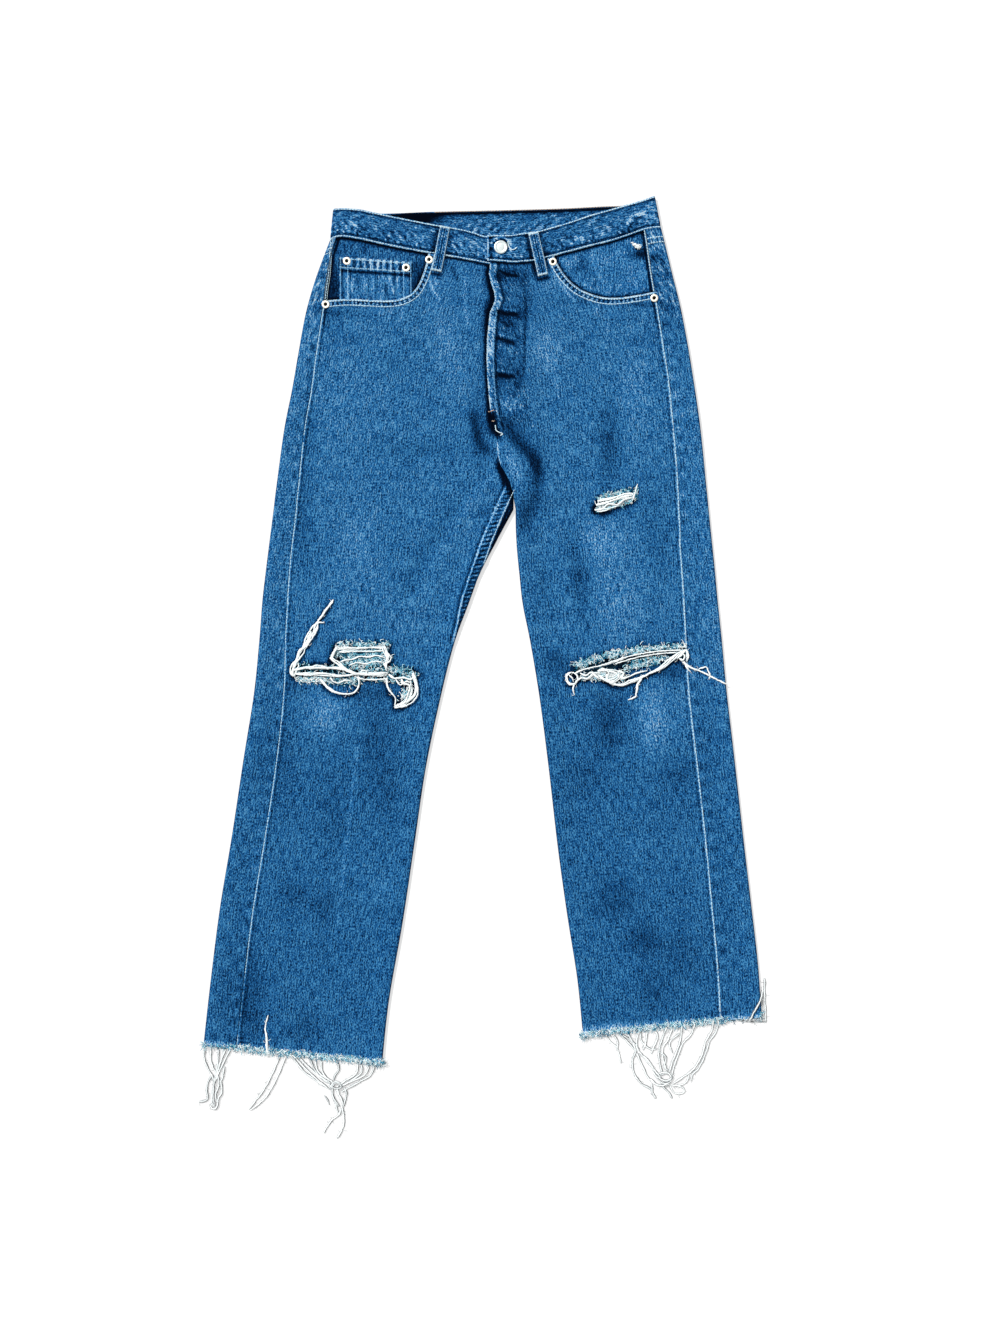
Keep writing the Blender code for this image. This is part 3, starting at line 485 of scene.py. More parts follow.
def crease_relief(x, y, creases):
    """Height of all creases together, each uneven along its length."""
    relief = np.zeros(x.shape)
    for number, (width, height, route) in enumerate(creases):
        gap, share = near_route(x, y, route)
        uneven = 1.0 + 0.3 * np.sin(9.0 * share + 1.9 * number)
        relief += height * uneven * np.exp(-((gap / width) ** 2))
    return relief


def streak_wear_and_shade(x, y, streaks):
    """Wear and painted shade in strokes along routes."""
    total = np.zeros(x.shape)
    for width, amount, route in streaks:
        gap, share = near_route(x, y, route)
        taper = np.clip(np.minimum(share, 1.0 - share) * 6.0 + 0.35, 0.0, 1.0)
        total += amount * taper * np.exp(-((gap / width) ** 2))
    return total


# Wear and painted shade in soft oval patches.
def patch_wear_and_shade(x, y, patches):
    wear = np.zeros(x.shape)
    for px, py, wide, long, tilt, amount in patches:
        c, s = math.cos(math.radians(tilt)), math.sin(math.radians(tilt))
        u = ((x - px) * c + (y - py) * s) / wide
        v = (-(x - px) * s + (y - py) * c) / long
        wear += amount * np.exp(-(u**2) - v**2)
    return wear


def slit_depth(x, y, slit):
    """Above 0 inside a slit's pointed lens, in mm from its edge."""
    start, end = np.array(slit.start), np.array(slit.end)
    length = np.linalg.norm(end - start)
    way = (end - start) / length
    t = (x - start[0]) * way[0] + (y - start[1]) * way[1]
    off = np.abs(-(x - start[0]) * way[1] + (y - start[1]) * way[0])
    share = np.clip(t / length, 0.0, 1.0)
    half = slit.height / 2.0 * np.sin(math.pi * share) ** 0.6
    beyond = np.maximum(-t, t - length)
    return np.where(beyond > 0.0, -np.hypot(beyond, off), half - off)


def ripple(t, wavelength, seed):
    """Uneven waves between about -1 and 1."""
    turn = 2.0 * math.pi * t / wavelength
    waves = 0.6 * np.sin(turn + 1.7 * seed) + 0.4 * np.sin(1.63 * turn + 3.1 * seed)
    return waves * (0.7 + 0.3 * np.sin(0.19 * turn + seed))


def rungs(run, pitch):
    """Light and dark bars, between 1 and -1, where a double-stitched edge puckers."""
    return np.tanh(1.8 * np.sin(2.0 * math.pi * run / pitch + 0.9 * np.sin(run / 17.0)))


def line(gap, centre, width):
    """One on a line at a distance from an edge, falling away to both sides."""
    return np.exp(-(((gap - centre) / width) ** 2))


# ---------------------------------------------------------------- meshes


def run_along(points):
    """Distance from the start of a line to each of its points."""
    return np.concatenate(([0.0], np.cumsum(np.linalg.norm(np.diff(points, axis=0), axis=1))))


def at_places(at, done, points):
    """Points at distances along a line."""
    return np.stack([np.interp(at, done, points[:, k]) for k in range(points.shape[1])], axis=1)


def grid_quads(points, keep=None):
    """Corner numbers of a grid's faces, or of those that are kept."""
    rows, columns = points.shape[:2]
    index = np.arange(rows * columns).reshape(rows, columns)
    corners = [index[:-1, :-1], index[1:, :-1], index[1:, 1:], index[:-1, 1:]]
    quads = np.stack(corners, axis=-1).reshape(-1, 4)
    return quads if keep is None else quads[keep.reshape(-1)]


def cloth_object(name, points, cloth, wear, marble, finishes, facing, keep=None):
    """A grid (rows, columns, 3) as a smooth sheet that carries its wear, its painted shade and its
    weave's place.
    """
    quads = grid_quads(points, keep)
    i, j = points.shape[0] // 2, points.shape[1] // 2
    a = points[i + 1, j] - points[i, j]
    b = points[i, j + 1] - points[i, j]
    if np.dot(np.cross(a, b), facing[i, j]) < 0.0:
        quads = quads[:, ::-1]
    used, packed = np.unique(quads, return_inverse=True)
    mesh = bpy.data.meshes.new(name)
    spots = (points.reshape(-1, 3)[used] * MM).tolist()
    mesh.from_pydata(spots, [], packed.reshape(-1, 4).tolist())
    marble = np.broadcast_to(marble, wear.shape)
    add_fields(mesh, cloth.reshape(-1, 3)[used] * MM, wear.reshape(-1)[used],
               marble.reshape(-1)[used])
    return add_object(name, mesh, finishes)


def add_fields(mesh, cloth, wear, marble):
    """Store each point's place in the cloth, its wear and painted shade, and how marbled it is."""
    field = mesh.attributes.new("cloth", "FLOAT_VECTOR", "POINT")
    field.data.foreach_set("vector", np.ascontiguousarray(cloth, dtype=np.float32).ravel())
    for label, values in (("wear", wear), ("marble", marble)):
        field = mesh.attributes.new(label, "FLOAT", "POINT")
        field.data.foreach_set("value", np.ascontiguousarray(values, dtype=np.float32).ravel())


def add_object(name, mesh, finishes):
    mesh.polygons.foreach_set("use_smooth", np.ones(len(mesh.polygons), dtype=bool))
    for key in finishes:
        mesh.materials.append(finish_of(key))
    mesh.update()
    thing = bpy.data.objects.new(name, mesh)
    bpy.context.scene.collection.objects.link(thing)
    return thing


def stand(thing, node=None):
    """Fix a piece to the body, in place of its node if it has one."""
    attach(thing, "root")
    if node:
        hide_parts(node)


def thicken(thing, wall, inside=0):
    """Give a sheet its thickness, inwards from the outside that the grid describes."""
    shell = thing.modifiers.new("cloth thickness", "SOLIDIFY")
    shell.thickness = wall * MM
    shell.offset = -1.0
    shell.material_offset = inside
    graph = bpy.context.evaluated_depsgraph_get()
    mesh = bpy.data.meshes.new_from_object(
        thing.evaluated_get(graph), preserve_all_data_layers=True, depsgraph=graph
    )
    for vertex in mesh.vertices:
        vertex.co.z = max(vertex.co.z, 0.0)
    thing.modifiers.clear()
    thing.data = mesh
    return thing


class Bundle:
    """Many fine tubes gathered into one mesh."""

    def __init__(self):
        self.points, self.faces, self.wear, self.places, self.count = [], [], [], [], 0

    def tube(self, path, radius, sides, wear, flat=1.0):
        path = np.asarray(path, float)
        count = len(path)
        ahead = np.gradient(path, axis=0)
        ahead /= np.maximum(np.linalg.norm(ahead, axis=1, keepdims=True), 1e-9)
        beside = np.cross(ahead, (0.0, 0.0, 1.0))
        width = np.linalg.norm(beside, axis=1, keepdims=True)
        beside = np.where(width > 0.05, beside / np.maximum(width, 1e-9), (1.0, 0.0, 0.0))
        above = np.cross(beside, ahead)
        turn = 2.0 * math.pi * (np.arange(sides) + 0.5) / sides
        radius = np.broadcast_to(radius, (count,))[:, None, None]
        ring = np.cos(turn)[None, :, None] * beside[:, None, :]
        ring = ring + flat * np.sin(turn)[None, :, None] * above[:, None, :]
        spots = (path[:, None, :] + radius * ring).reshape(-1, 3)
        spots[:, 2] = np.maximum(spots[:, 2], 0.02)
        self.points.append(spots)
        first = self.count
        for i in range(count - 1):
            low = first + i * sides
            for k in range(sides):
                nxt = (k + 1) % sides
                self.faces.append((low + k, low + nxt, low + sides + nxt, low + sides + k))
        self.faces.append(tuple(first + k for k in range(sides - 1, -1, -1)))
        self.faces.append(tuple(first + (count - 1) * sides + k for k in range(sides)))
        self.wear.append(np.full(count * sides, wear))
        run = np.repeat(np.linspace(0.0, 1.0, count), sides) * count
        self.places.append(np.stack([np.tile(turn, count), run, np.full(len(run), first)], axis=1))
        self.count += count * sides

    def finish(self, name, finish, slot="yarn", node=None):
        mesh = bpy.data.meshes.new(name)
        mesh.from_pydata((np.concatenate(self.points) * MM).tolist(), [], self.faces)
        wear = np.concatenate(self.wear)
        add_fields(mesh, np.concatenate(self.places) * MM, wear, np.zeros(len(wear)))
        stand(add_object(name, mesh, [finish]), node)


def turned_object(name, profile, centre, lift, segments, finishes, parts=None):
    """A solid of revolution from (radius, height) pairs; parts gives a material to each step."""
    points, faces = [], []
    for radius, height in profile:
        for k in range(segments):
            turn = 2.0 * math.pi * k / segments
            points.append((
                centre[0] + radius * math.cos(turn), centre[1] + radius * math.sin(turn),
                lift + height,
            ))
    for i in range(len(profile) - 1):
        for k in range(segments):
            nxt = (k + 1) % segments
            a, b = i * segments, (i + 1) * segments
            faces.append((a + k, a + nxt, b + nxt, b + k))
    faces.append(tuple(range(segments - 1, -1, -1)))
    last = (len(profile) - 1) * segments
    faces.append(tuple(last + k for k in range(segments)))
    mesh = bpy.data.meshes.new(name)
    mesh.from_pydata([Vector(p) * MM for p in points], [], faces)
    thing = add_object(name, mesh, finishes)
    if parts:
        for i, part in enumerate(parts):
            for k in range(segments):
                mesh.polygons[i * segments + k].material_index = part
        mesh.polygons[-1].material_index = parts[-1]
    return thing


LAID = []  # what stitches and yarn can lie on


def top(x, y, below=60.0):
    """Height of the highest thing laid at a place."""
    heights = [0.0]
    for tree in LAID:
        hit = tree.ray_cast(Vector((x, y, below)), Vector((0.0, 0.0, -1.0)))[0]
        if hit is not None:
            heights.append(hit.z)
    return max(heights)


def route_points(route, step):
    """Points about a step apart along a smooth curve through a route."""
    route = np.asarray(route, float)
    fine = smooth(route, np.linspace(0.0, len(route) - 1.0, 12 * (len(route) - 1) + 1))
    done = run_along(fine)
    count = max(int(round(done[-1] / step)), 2)
    return at_places(np.linspace(0.0, done[-1], count + 1), done, fine)


def beside_route(points, offset):
    """A route shifted to its left by an offset."""
    ahead = np.gradient(points, axis=0)
    ahead /= np.maximum(np.linalg.norm(ahead, axis=1, keepdims=True), 1e-9)
    return points + offset * np.stack([-ahead[:, 1], ahead[:, 0]], axis=1)


def yarn(bundle, rng, item):
    """A loose yarn of fine strands that wander round each other, over whatever is there."""
    width, strands, lift, route, wear = item
    step = 1.6
    path = route_points(route, step)
    count = len(path)
    level = np.pad([top(x, y) for x, y in path], 2, "edge")
    high = np.array([level[i:i + 5].max() for i in range(count)])
    high = np.convolve(np.pad(high, 2, "edge"), np.full(5, 0.2), "valid")
    run = np.arange(count) * step
    across = beside_route(path, 1.0) - path
    fine = np.clip(0.5 * width / strands + 0.14, 0.7, 1.4)
    ends = np.clip(np.minimum(np.arange(count), np.arange(count)[::-1]) / 3.0, 0.15, 1.0)
    for strand in range(strands):
        lean = (strand + 0.5) / strands - 0.5
        weave = np.sin(run / rng.uniform(6.0, 11.0) + rng.uniform(0.0, 6.3))
        sideways = (width - 2.0 * fine) * (lean + 0.34 * weave * min(strands - 1, 1)) * ends ** 0.5
        xy = path + across * sideways[:, None] + rng.normal(0.0, 0.16, path.shape)
        z = high + fine + lift * ends + 0.5 * (strand % 2) * ends + 0.35 * np.cos(run / 7.0 + strand)
        radius = fine * (0.6 + 0.4 * ends) * (1.0 + 0.16 * np.sin(run / 2.6 + strand))
        bundle.tube(np.column_stack([xy, z]), radius, 5, wear + rng.normal(0.0, 0.05))
    for _ in range(int(0.16 * run[-1])):
        # Loose fibres that stand out from the yarn
        k = int(rng.integers(1, count - 1))
        start = (*path[k], high[k] + lift + 0.3)
        ahead = math.atan2(*(path[k + 1] - path[k - 1])[::-1])
        heading = ahead + rng.choice((-1.0, 1.0)) * rng.uniform(0.3, 1.1)
        fibre(bundle, rng, start, heading, rng.uniform(3.0, 7.0), 0.5, 0.34, wear)


def fibre(bundle, rng, start, heading, length, curl, radius, wear):
    """One curly loose fibre that starts in the cloth."""
    steps = 6
    path, heading = [np.array(start, float)], float(heading)
    bend, rise = rng.normal(0.0, curl), rng.uniform(0.1, 0.6)
    for k in range(steps):
        heading += bend + rng.normal(0.0, curl * 0.5)
        climb = rise * (1.0 - 2.0 * k / steps)
        step = np.array([math.cos(heading), math.sin(heading), climb])
        path.append(path[-1] + step * length / steps)
    path = np.array(path)
    path[:, 2] = np.maximum(path[:, 2], radius)
    bundle.tube(path, np.linspace(radius, radius * 0.55, steps + 1), 3, wear)


# ---------------------------------------------------------------- colours and sizes


def srgb(code):
    """Linear red, green and blue of an sRGB hex colour."""
    values = [int(code[k:k + 2], 16) / 255.0 for k in (1, 3, 5)]
    return tuple(v / 12.92 if v <= 0.04045 else ((v + 0.055) / 1.055) ** 2.4 for v in values)


def colour(name, description, code):
    return bpy.props.FloatVectorProperty(
        name=name, description=description, default=srgb(code), subtype="COLOR", size=3,
        min=0.0, max=1.0,
    )


def length(name, description, millimetres):
    return bpy.props.FloatProperty(
        name=name, description=description, default=millimetres * MM, min=0.0, unit="LENGTH",
        precision=4,
    )


class JeansSizes(bpy.types.PropertyGroup):
    denim_wall: length("Denim", "Thickness of one layer of denim", 1.0)
    band_wall: length("Waistband", "Thickness of the two layers of the waistband", 2.2)
    stitch_pitch: length("Stitch pitch", "From the start of one stitch to the next", 3.4)
    stitch_width: length("Stitch width", "Thickness of the topstitch thread", 1.1)
    fray_length: length("Fray", "Length of the loose fibres along a raw edge", 7.0)
    yarn_width: length("Yarn", "Thickness of a loose yarn at a rip", 2.6)


class JeansColours(bpy.types.PropertyGroup):
    # The darkest tone: whole dye in real folds, and also where the deepest painted shade is laid.
    unwashed_and_shaded: colour("Unwashed", "Denim in the folds, where the dye is whole", "#031f42")
    deep: colour("Deep", "Denim that is hardly washed out", "#164e88")
    washed: colour("Washed", "Most of the denim", "#2074bc")
    pale: colour("Pale", "Denim that is well washed out", "#5fb0e4")
    bare: colour("Bare", "Denim worn down to its white weft", "#cfeafa")
    # Painted shade: the wrong side is darkened to stand for the shade in the rips.
    inside: colour("Inside", "Wrong side of the denim in the rips", "#0c3248")
    thread: colour("Thread", "Topstitching", "#e4f6fb")
    tan_thread: colour("Tan thread", "Bar tack at the fly and edge of the band's lining", "#d2b096")
    weft: colour("Weft", "Undyed cotton yarn", "#fbfffe")
    # Painted shade on the sides and undersides of the hanging hem yarns.
    weft_shade: colour("Weft in shade", "Undyed yarn between matted strands", "#565a5c")
    dyed_yarn: colour("Dyed yarn", "Frayed warp yarn", "#1a7ca6")
    teased_yarn: colour("Teased yarn", "Warp and weft teased together", "#8adcee")
    nickel: colour("Button", "Nickelled button", "#dfe9e8")
    copper: colour("Rivet", "Worn copper of the rivets", "#f7efdf")
    oxide: colour("Oxide", "Tarnish in the middle of the rivets", "#1d1c19")


# ---------------------------------------------------------------- materials


def add_node(tree, kind, settings=None, inputs=None):
    """Add a node with its settings, and link or set its inputs."""
    node = tree.nodes.new(kind)
    for key, value in (settings or {}).items():
        setattr(node, key, value)
    for key, value in (inputs or {}).items():
        if isinstance(value, bpy.types.NodeSocket):
            tree.links.new(value, node.inputs[key])
        else:
            node.inputs[key].default_value = value
    return node


def new_material(name, roughness, **settings):
    """An empty Principled material; settings go straight on the shader."""
    material = bpy.data.materials.new(name)
    material.use_nodes = True
    shader = material.node_tree.nodes["Principled BSDF"]
    shader.inputs["Roughness"].default_value = roughness
    for key, value in settings.items():
        shader.inputs[key.replace("_", " ")].default_value = value
    return material, material.node_tree, shader


def ramp_node(tree, factor, stops):
    node = add_node(tree, "ShaderNodeValToRGB", None, {"Fac": factor})
    elements = node.color_ramp.elements
    while len(elements) < len(stops):
        elements.new(0.5)
    for element, (place, tint) in zip(elements, stops):
        element.position = place
        element.color = (*tint, 1.0)
    return node.outputs["Color"]


def maths(tree, operation, *values):
    """The result of one sum on sockets and numbers."""
    node = add_node(tree, "ShaderNodeMath", {"operation": operation}, dict(enumerate(values)))
    return node.outputs[0]


def centred(tree, noise):
    return maths(tree, "SUBTRACT", noise, 0.5)


def field(tree, name):
    """A mesh's own field: the place in the cloth, the wear and painted shade, or how marbled it is."""
    node = add_node(tree, "ShaderNodeAttribute", {"attribute_name": name})
    return node.outputs["Vector" if name == "cloth" else "Fac"]


def roughen(tree, shader, height, strength, distance):
    """Small relief on a finish, a distance in millimetres deep."""
    bump = add_node(tree, "ShaderNodeBump", None, {
        "Strength": strength, "Distance": distance * MM, "Height": height,
    })
    tree.links.new(bump.outputs[0], shader.inputs["Normal"])


def shade(tint, amount):
    return tuple(amount * v for v in tint)


def sized(tree, place, *scale):
    """A place multiplied by a scale along each axis."""
    node = add_node(tree, "ShaderNodeVectorMath", {"operation": "MULTIPLY"}, {0: place, 1: scale})
    return node.outputs[0]


def cloth_noise(tree, place, across, along, detail, tilt=0.0, rough=0.6, distortion=0.0):
    """Noise whose spots are about across by along millimetres in the cloth."""
    turned = add_node(tree, "ShaderNodeMapping", {"vector_type": "POINT"}, {
        "Vector": place, "Rotation": (0.0, 0.0, math.radians(tilt)),
    })
    noise = add_node(tree, "ShaderNodeTexNoise", {"noise_dimensions": "2D"}, {
        "Vector": sized(tree, turned.outputs[0], 1.0 / (across * MM), 1.0 / (along * MM), 1.0),
        "Scale": 1.0, "Detail": detail, "Roughness": rough, "Distortion": distortion,
    })
    return noise.outputs["Fac"]


def denim_material(name, colours, shift=0.0):
    """Stonewashed indigo denim: right-hand twill of blue warp over white weft, washed pale where
    it rubs, and darkened by the painted shade that its wear field carries.  To the eye it is a
    salt-and-pepper grain with short upright streaks."""
    material, tree, shader = new_material(name, 0.95, Specular_IOR_Level=0.03)
    place, wear = field(tree, "cloth"), field(tree, "wear")
    # The real grain is one yarn, 0.5 mm wide; it is drawn 1.1 by 2.4 mm to show at this size.
    grain = cloth_noise(tree, place, 1.1, 2.4, 1.0, rough=0.5)
    # Uneven, slubby warp yarns run down the cloth as longer streaks.
    slub = cloth_noise(tree, place, 1.3, 15.0, 1.0)
    mottle = cloth_noise(tree, place, 24.0, 60.0, 1.0)
    # Ropy wear where layers pucker between rows of stitching.
    rope = cloth_noise(tree, place, 3.2, 11.0, 2.0, tilt=20.0, rough=0.5, distortion=0.9)
    total = 0.0
    for noise, amount in ((grain, 1.75), (slub, 1.1), (mottle, 0.12)):
        total = maths(tree, "MULTIPLY_ADD", centred(tree, noise), amount, total)
    # The palest flecks stay blue: white shows only where the cloth is worn through.
    total = maths(tree, "MINIMUM", total, 0.345)
    total = maths(tree, "ADD", total, 0.5 + shift)
    total = maths(tree, "MULTIPLY_ADD", wear, WEAR_AND_SHADE_STEP, total)
    roped = maths(tree, "MULTIPLY", centred(tree, rope), field(tree, "marble"))
    total = maths(tree, "MULTIPLY_ADD", roped, 1.9, total)
    tint = ramp_node(tree, total, (
        (0.0, colours.unwashed_and_shaded), (0.25, colours.deep), (0.5, colours.washed),
        (0.8, colours.pale), (1.0, colours.bare),
    ))
    # Denim that is less washed, and painted shade, keep their hue and only darken.
    gain = add_node(tree, "ShaderNodeMapRange", None, {
        "Value": wear, "From Min": -6.0, "From Max": 0.8, "To Min": 0.1, "To Max": 0.7,
    })
    shaded = add_node(tree, "ShaderNodeVectorMath", {"operation": "SCALE"}, {
        0: tint, "Scale": gain.outputs[0],
    })
    tree.links.new(shaded.outputs[0], shader.inputs["Base Color"])
    # Twill lines are 0.8 mm apart on the real cloth; they are drawn 1.6 mm apart.
    twill = add_node(tree, "ShaderNodeTexWave", {"bands_direction": "DIAGONAL"}, {
        "Vector": sized(tree, place, 1.0 / MM, 0.6 / MM, 0.0),
        "Scale": 0.28, "Distortion": 1.2, "Detail": 1.0,
    })
    height = maths(tree, "MULTIPLY_ADD", twill.outputs["Fac"], 0.35, grain)
    roughen(tree, shader, height, 0.4, 0.4)
    return material


def inside_material(name, tint):
    """Wrong side of the denim, painted dark as the shade in the rips, with flecks of weft."""
    material, tree, shader = new_material(name, 0.95, Specular_IOR_Level=0.2)
    fleck = cloth_noise(tree, field(tree, "cloth"), 1.4, 2.6, 2.0, rough=0.7)
    stops = ((0.3, shade(tint, 0.3)), (0.52, shade(tint, 0.8)), (0.72, shade(tint, 1.5)))
    tree.links.new(ramp_node(tree, fleck, stops), shader.inputs["Base Color"])
    roughen(tree, shader, fleck, 0.5, 0.4)
    return material


def yarn_material(name, dyed, half_dyed, undyed, shaded=0.45):
    """Soft spun cotton: matt, and from dyed warp to undyed weft by each strand's wear, with painted shade
    on its sides.
    """
    material, tree, shader = new_material(name, 0.95, Specular_IOR_Level=0.05)
    place, wear = field(tree, "cloth"), field(tree, "wear")
    # The place across a strand is its angle: painted shade darkens the sides and underneath, and the top
    # is left pale.
    angle = add_node(tree, "ShaderNodeSeparateXYZ", None, {0: place}).outputs[0]
    rise = maths(tree, "SINE", maths(tree, "DIVIDE", angle, MM))
    total = maths(tree, "SUBTRACT", maths(tree, "MULTIPLY_ADD", rise, shaded, wear), 0.25)
    fleck = cloth_noise(tree, place, 2.0, 1.5, 2.0)
    total = maths(tree, "MULTIPLY_ADD", centred(tree, fleck), 0.2, total)
    tint = ramp_node(tree, total, (
        (0.1, shade(dyed, 0.35)), (0.35, tuple(dyed)), (0.65, half_dyed), (0.95, tuple(undyed)),
    ))
    tree.links.new(tint, shader.inputs["Base Color"])
    return material


def thread_material(name, tint):
    """Corespun polyester topstitch thread, flecked paler and darker along each stitch."""
    material, tree, shader = new_material(name, 0.8, Specular_IOR_Level=0.1)
    fleck = cloth_noise(tree, field(tree, "cloth"), 3.0, 1.0, 1.0)
    total = maths(tree, "ADD", fleck, field(tree, "wear"))
    # Rows sunk in worn cloth take up its dye and look sky blue.
    dyed = tuple(v * k for v, k in zip(tint, (0.26, 0.56, 0.84)))
    dull = tuple(v * k for v, k in zip(tint, (0.72, 0.88, 0.95)))
    tint = ramp_node(tree, total, ((0.0, dyed), (0.28, dull), (0.5, tuple(tint))))
    tree.links.new(tint, shader.inputs["Base Color"])
    return material


def metal_material(name, tint, dull, roughness, spots):
    """Plated and tumbled metal: bright where it rubs, with a duller bloom between."""
    material, tree, shader = new_material(name, roughness, Metallic=1.0)
    noise = add_node(tree, "ShaderNodeTexNoise", None, {
        "Vector": add_node(tree, "ShaderNodeTexCoord").outputs["Object"],
        "Scale": 1.0 / (spots * MM), "Detail": 3.0, "Roughness": 0.6,
    }).outputs["Fac"]
    tint = ramp_node(tree, noise, ((0.32, shade(tint, dull)), (0.58, tuple(tint))))
    tree.links.new(tint, shader.inputs["Base Color"])
    roughen(tree, shader, noise, 0.25, 0.1)
    return material


FINISHES = {}


def finish_of(key):
    """A finish of the jeans by its short name; all are made on the first call."""
    if not FINISHES:
        c = bpy.context.scene.jeans_colours
        FINISHES.update(
            denim=denim_material("stonewashed indigo denim", c),
            dark_denim=denim_material("stonewashed denim kept from the sun", c, -0.05),
            inside=inside_material("wrong side of indigo denim in painted shade", c.inside),
            thread=thread_material("rubbed topstitch thread", c.thread),
            tan=thread_material("tan bar tack thread", c.tan_thread),
            yarn=yarn_material("frayed cotton yarn", c.dyed_yarn, tuple(c.teased_yarn), c.weft),
            weft_yarn=yarn_material("hanging weft yarn with painted shade", c.weft_shade, shade(c.weft_shade, 4.0),
                                    c.weft, 1.0),
            nickel=metal_material("nickelled brass", c.nickel, 0.86, 0.36, 3.0),
            copper=metal_material("worn copper", c.copper, 0.82, 0.5, 1.5),
            oxide=metal_material("tarnished copper", c.oxide, 0.5, 0.6, 1.0),
        )
    return FINISHES[key]


# ---------------------------------------------------------------- panels

# Steps in from a panel's outseam and from its inner end, and the count of columns between
FRONT_NEAR = (0, 0.7, 1.4, 2.2, 3, 4, 5.2, 6.8, 9, 12)
FRONT_FAR = (
    26, 22.5, 19.5, 17, 15, 13.4, 12, 10.8, 9.7, 8.7, 7.7, 6.7, 5.7, 4.7, 3.7, 2.8, 1.9, 1.1, 0.5, 0,
)
FRONT_MIDDLE = 62
BACK_NEAR = (0, 0.7, 1.4, 2.2, 3, 4.2, 5.6, 7, 8.4)
BACK_NEAR_SHARE = (0, 0.08, 0.17, 0.27, 0.38, 0.5, 0.62, 0.74, 0.85)
BACK_FAR = (16, 13, 10.5, 8.7, 7, 5.4, 4, 2.8, 1.8, 0.9, 0)
BACK_MIDDLE = 40

Panel = namedtuple("Panel", "points normals cloth seam end")
PANELS = {}
FRONTS = {}
SIDES = ("right", "left")
# Levels between which a front's rows are closer, and their step
FINE_ZONES = {
    "right": ((222, 30, 1.8),),
    "left": ((484, 274, 1.9), (216, 188, 1.8)),
}


def front_columns(row):
    start, end = seam_reach(row), front_reach(row)
    near = start + np.array(FRONT_NEAR)
    far = end - np.array(FRONT_FAR)
    middle = np.linspace(near[-1], far[0], FRONT_MIDDLE + 2)[1:-1]
    return np.concatenate([near, middle, far])


def back_columns(row):
    start, end, bend = seam_reach(row), -back_reach(row), quarter(row)
    near = start - np.minimum(np.array(BACK_NEAR), (start - bend) * np.array(BACK_NEAR_SHARE))
    side = np.linspace(near[-1], bend, 5)[1:]
    fold = np.linspace(bend, -bend, 10)[1:]
    far = end + np.array(BACK_FAR)
    middle = np.linspace(fold[-1], far[0], BACK_MIDDLE + 2)[1:-1]
    return np.concatenate([near, side, fold, middle, far])


def row_places(side, first, last, step, zones):
    """Row places from first to last, a step apart at the outer fold and closer in zones."""
    places = np.linspace(0.0, len(HIPS[side]) + len(LEGS[side]) - 1.0, 2101)
    last_hip = len(HIPS[side]) - 1.0
    hips = smooth(HIPS[side], places)[:, 0]
    legs = smooth(LEGS[side], places - last_hip - 1.0)[:, 0]
    share = np.clip(places - last_hip, 0.0, 1.0)
    level = hips * (1.0 - share) + legs * share
    y, end = np.interp((first, last), places, level)
    levels = [y]
    while y > end:
        near = [zone for zone in zones if zone[1] < y <= zone[0]]
        y -= near[0][2] if near else step
        levels.append(max(y, end))
    if levels[-2] - end < 0.4:
        del levels[-2]
    return np.interp(-np.array(levels), -level, places)


def panel_grid(side, places, columns, front):
    """Lay a panel's lines of points at its row places."""
    last_hip = len(HIPS[side]) - 1.0
    lines = []
    for place in places:
        if place <= last_hip:
            parts = [(hip_row(side, place), 1.0)]
        elif place >= last_hip + 1.0:
            parts = [(leg_row(side, place - last_hip - 1.0), 1.0)]
        else:
            share = place - last_hip
            parts = [(hip_row(side, last_hip), 1.0 - share), (leg_row(side, 0.0), share)]
        total = 0.0
        for row, weight in parts:
            s = columns(row)
            points, normals = contour(row, s)
            reach = front_reach(row) if front else back_reach(row)
            seam = np.abs(s - seam_reach(row))
            end = reach - s if front else s + reach
            block = np.column_stack([points, normals, s, np.full(len(s), row.outer[1]), seam, end])
            total = total + weight * block
        lines.append(total)
    grid = np.array(lines)
    normals = grid[..., 3:6]
    normals = normals / np.linalg.norm(normals, axis=-1, keepdims=True)
    cloth = np.stack([grid[..., 6], grid[..., 7], np.zeros(grid.shape[:2])], axis=-1)
    return Panel(grid[..., 0:3].copy(), normals, cloth, grid[..., 8], grid[..., 9])


def faces_centres(points):
    return (points[:-1, :-1] + points[1:, :-1] + points[1:, 1:] + points[:-1, 1:]) / 4.0


def kept_in_mouth(side, centres):
    """True for faces that the pocket mouth leaves in the front."""
    route = np.asarray(MOUTHS[side])
    x, y = centres[..., 0], centres[..., 1]
    gap, _ = near_route(x, y, route)
    across = np.sort(route[:, 0])
    level = route[np.argsort(route[:, 0]), 1]
    above = y > np.interp(x, across, level)
    outward = x < route[0, 0] if side == "right" else x > route[0, 0]
    return ~((outward & above) | (gap < 2.2))


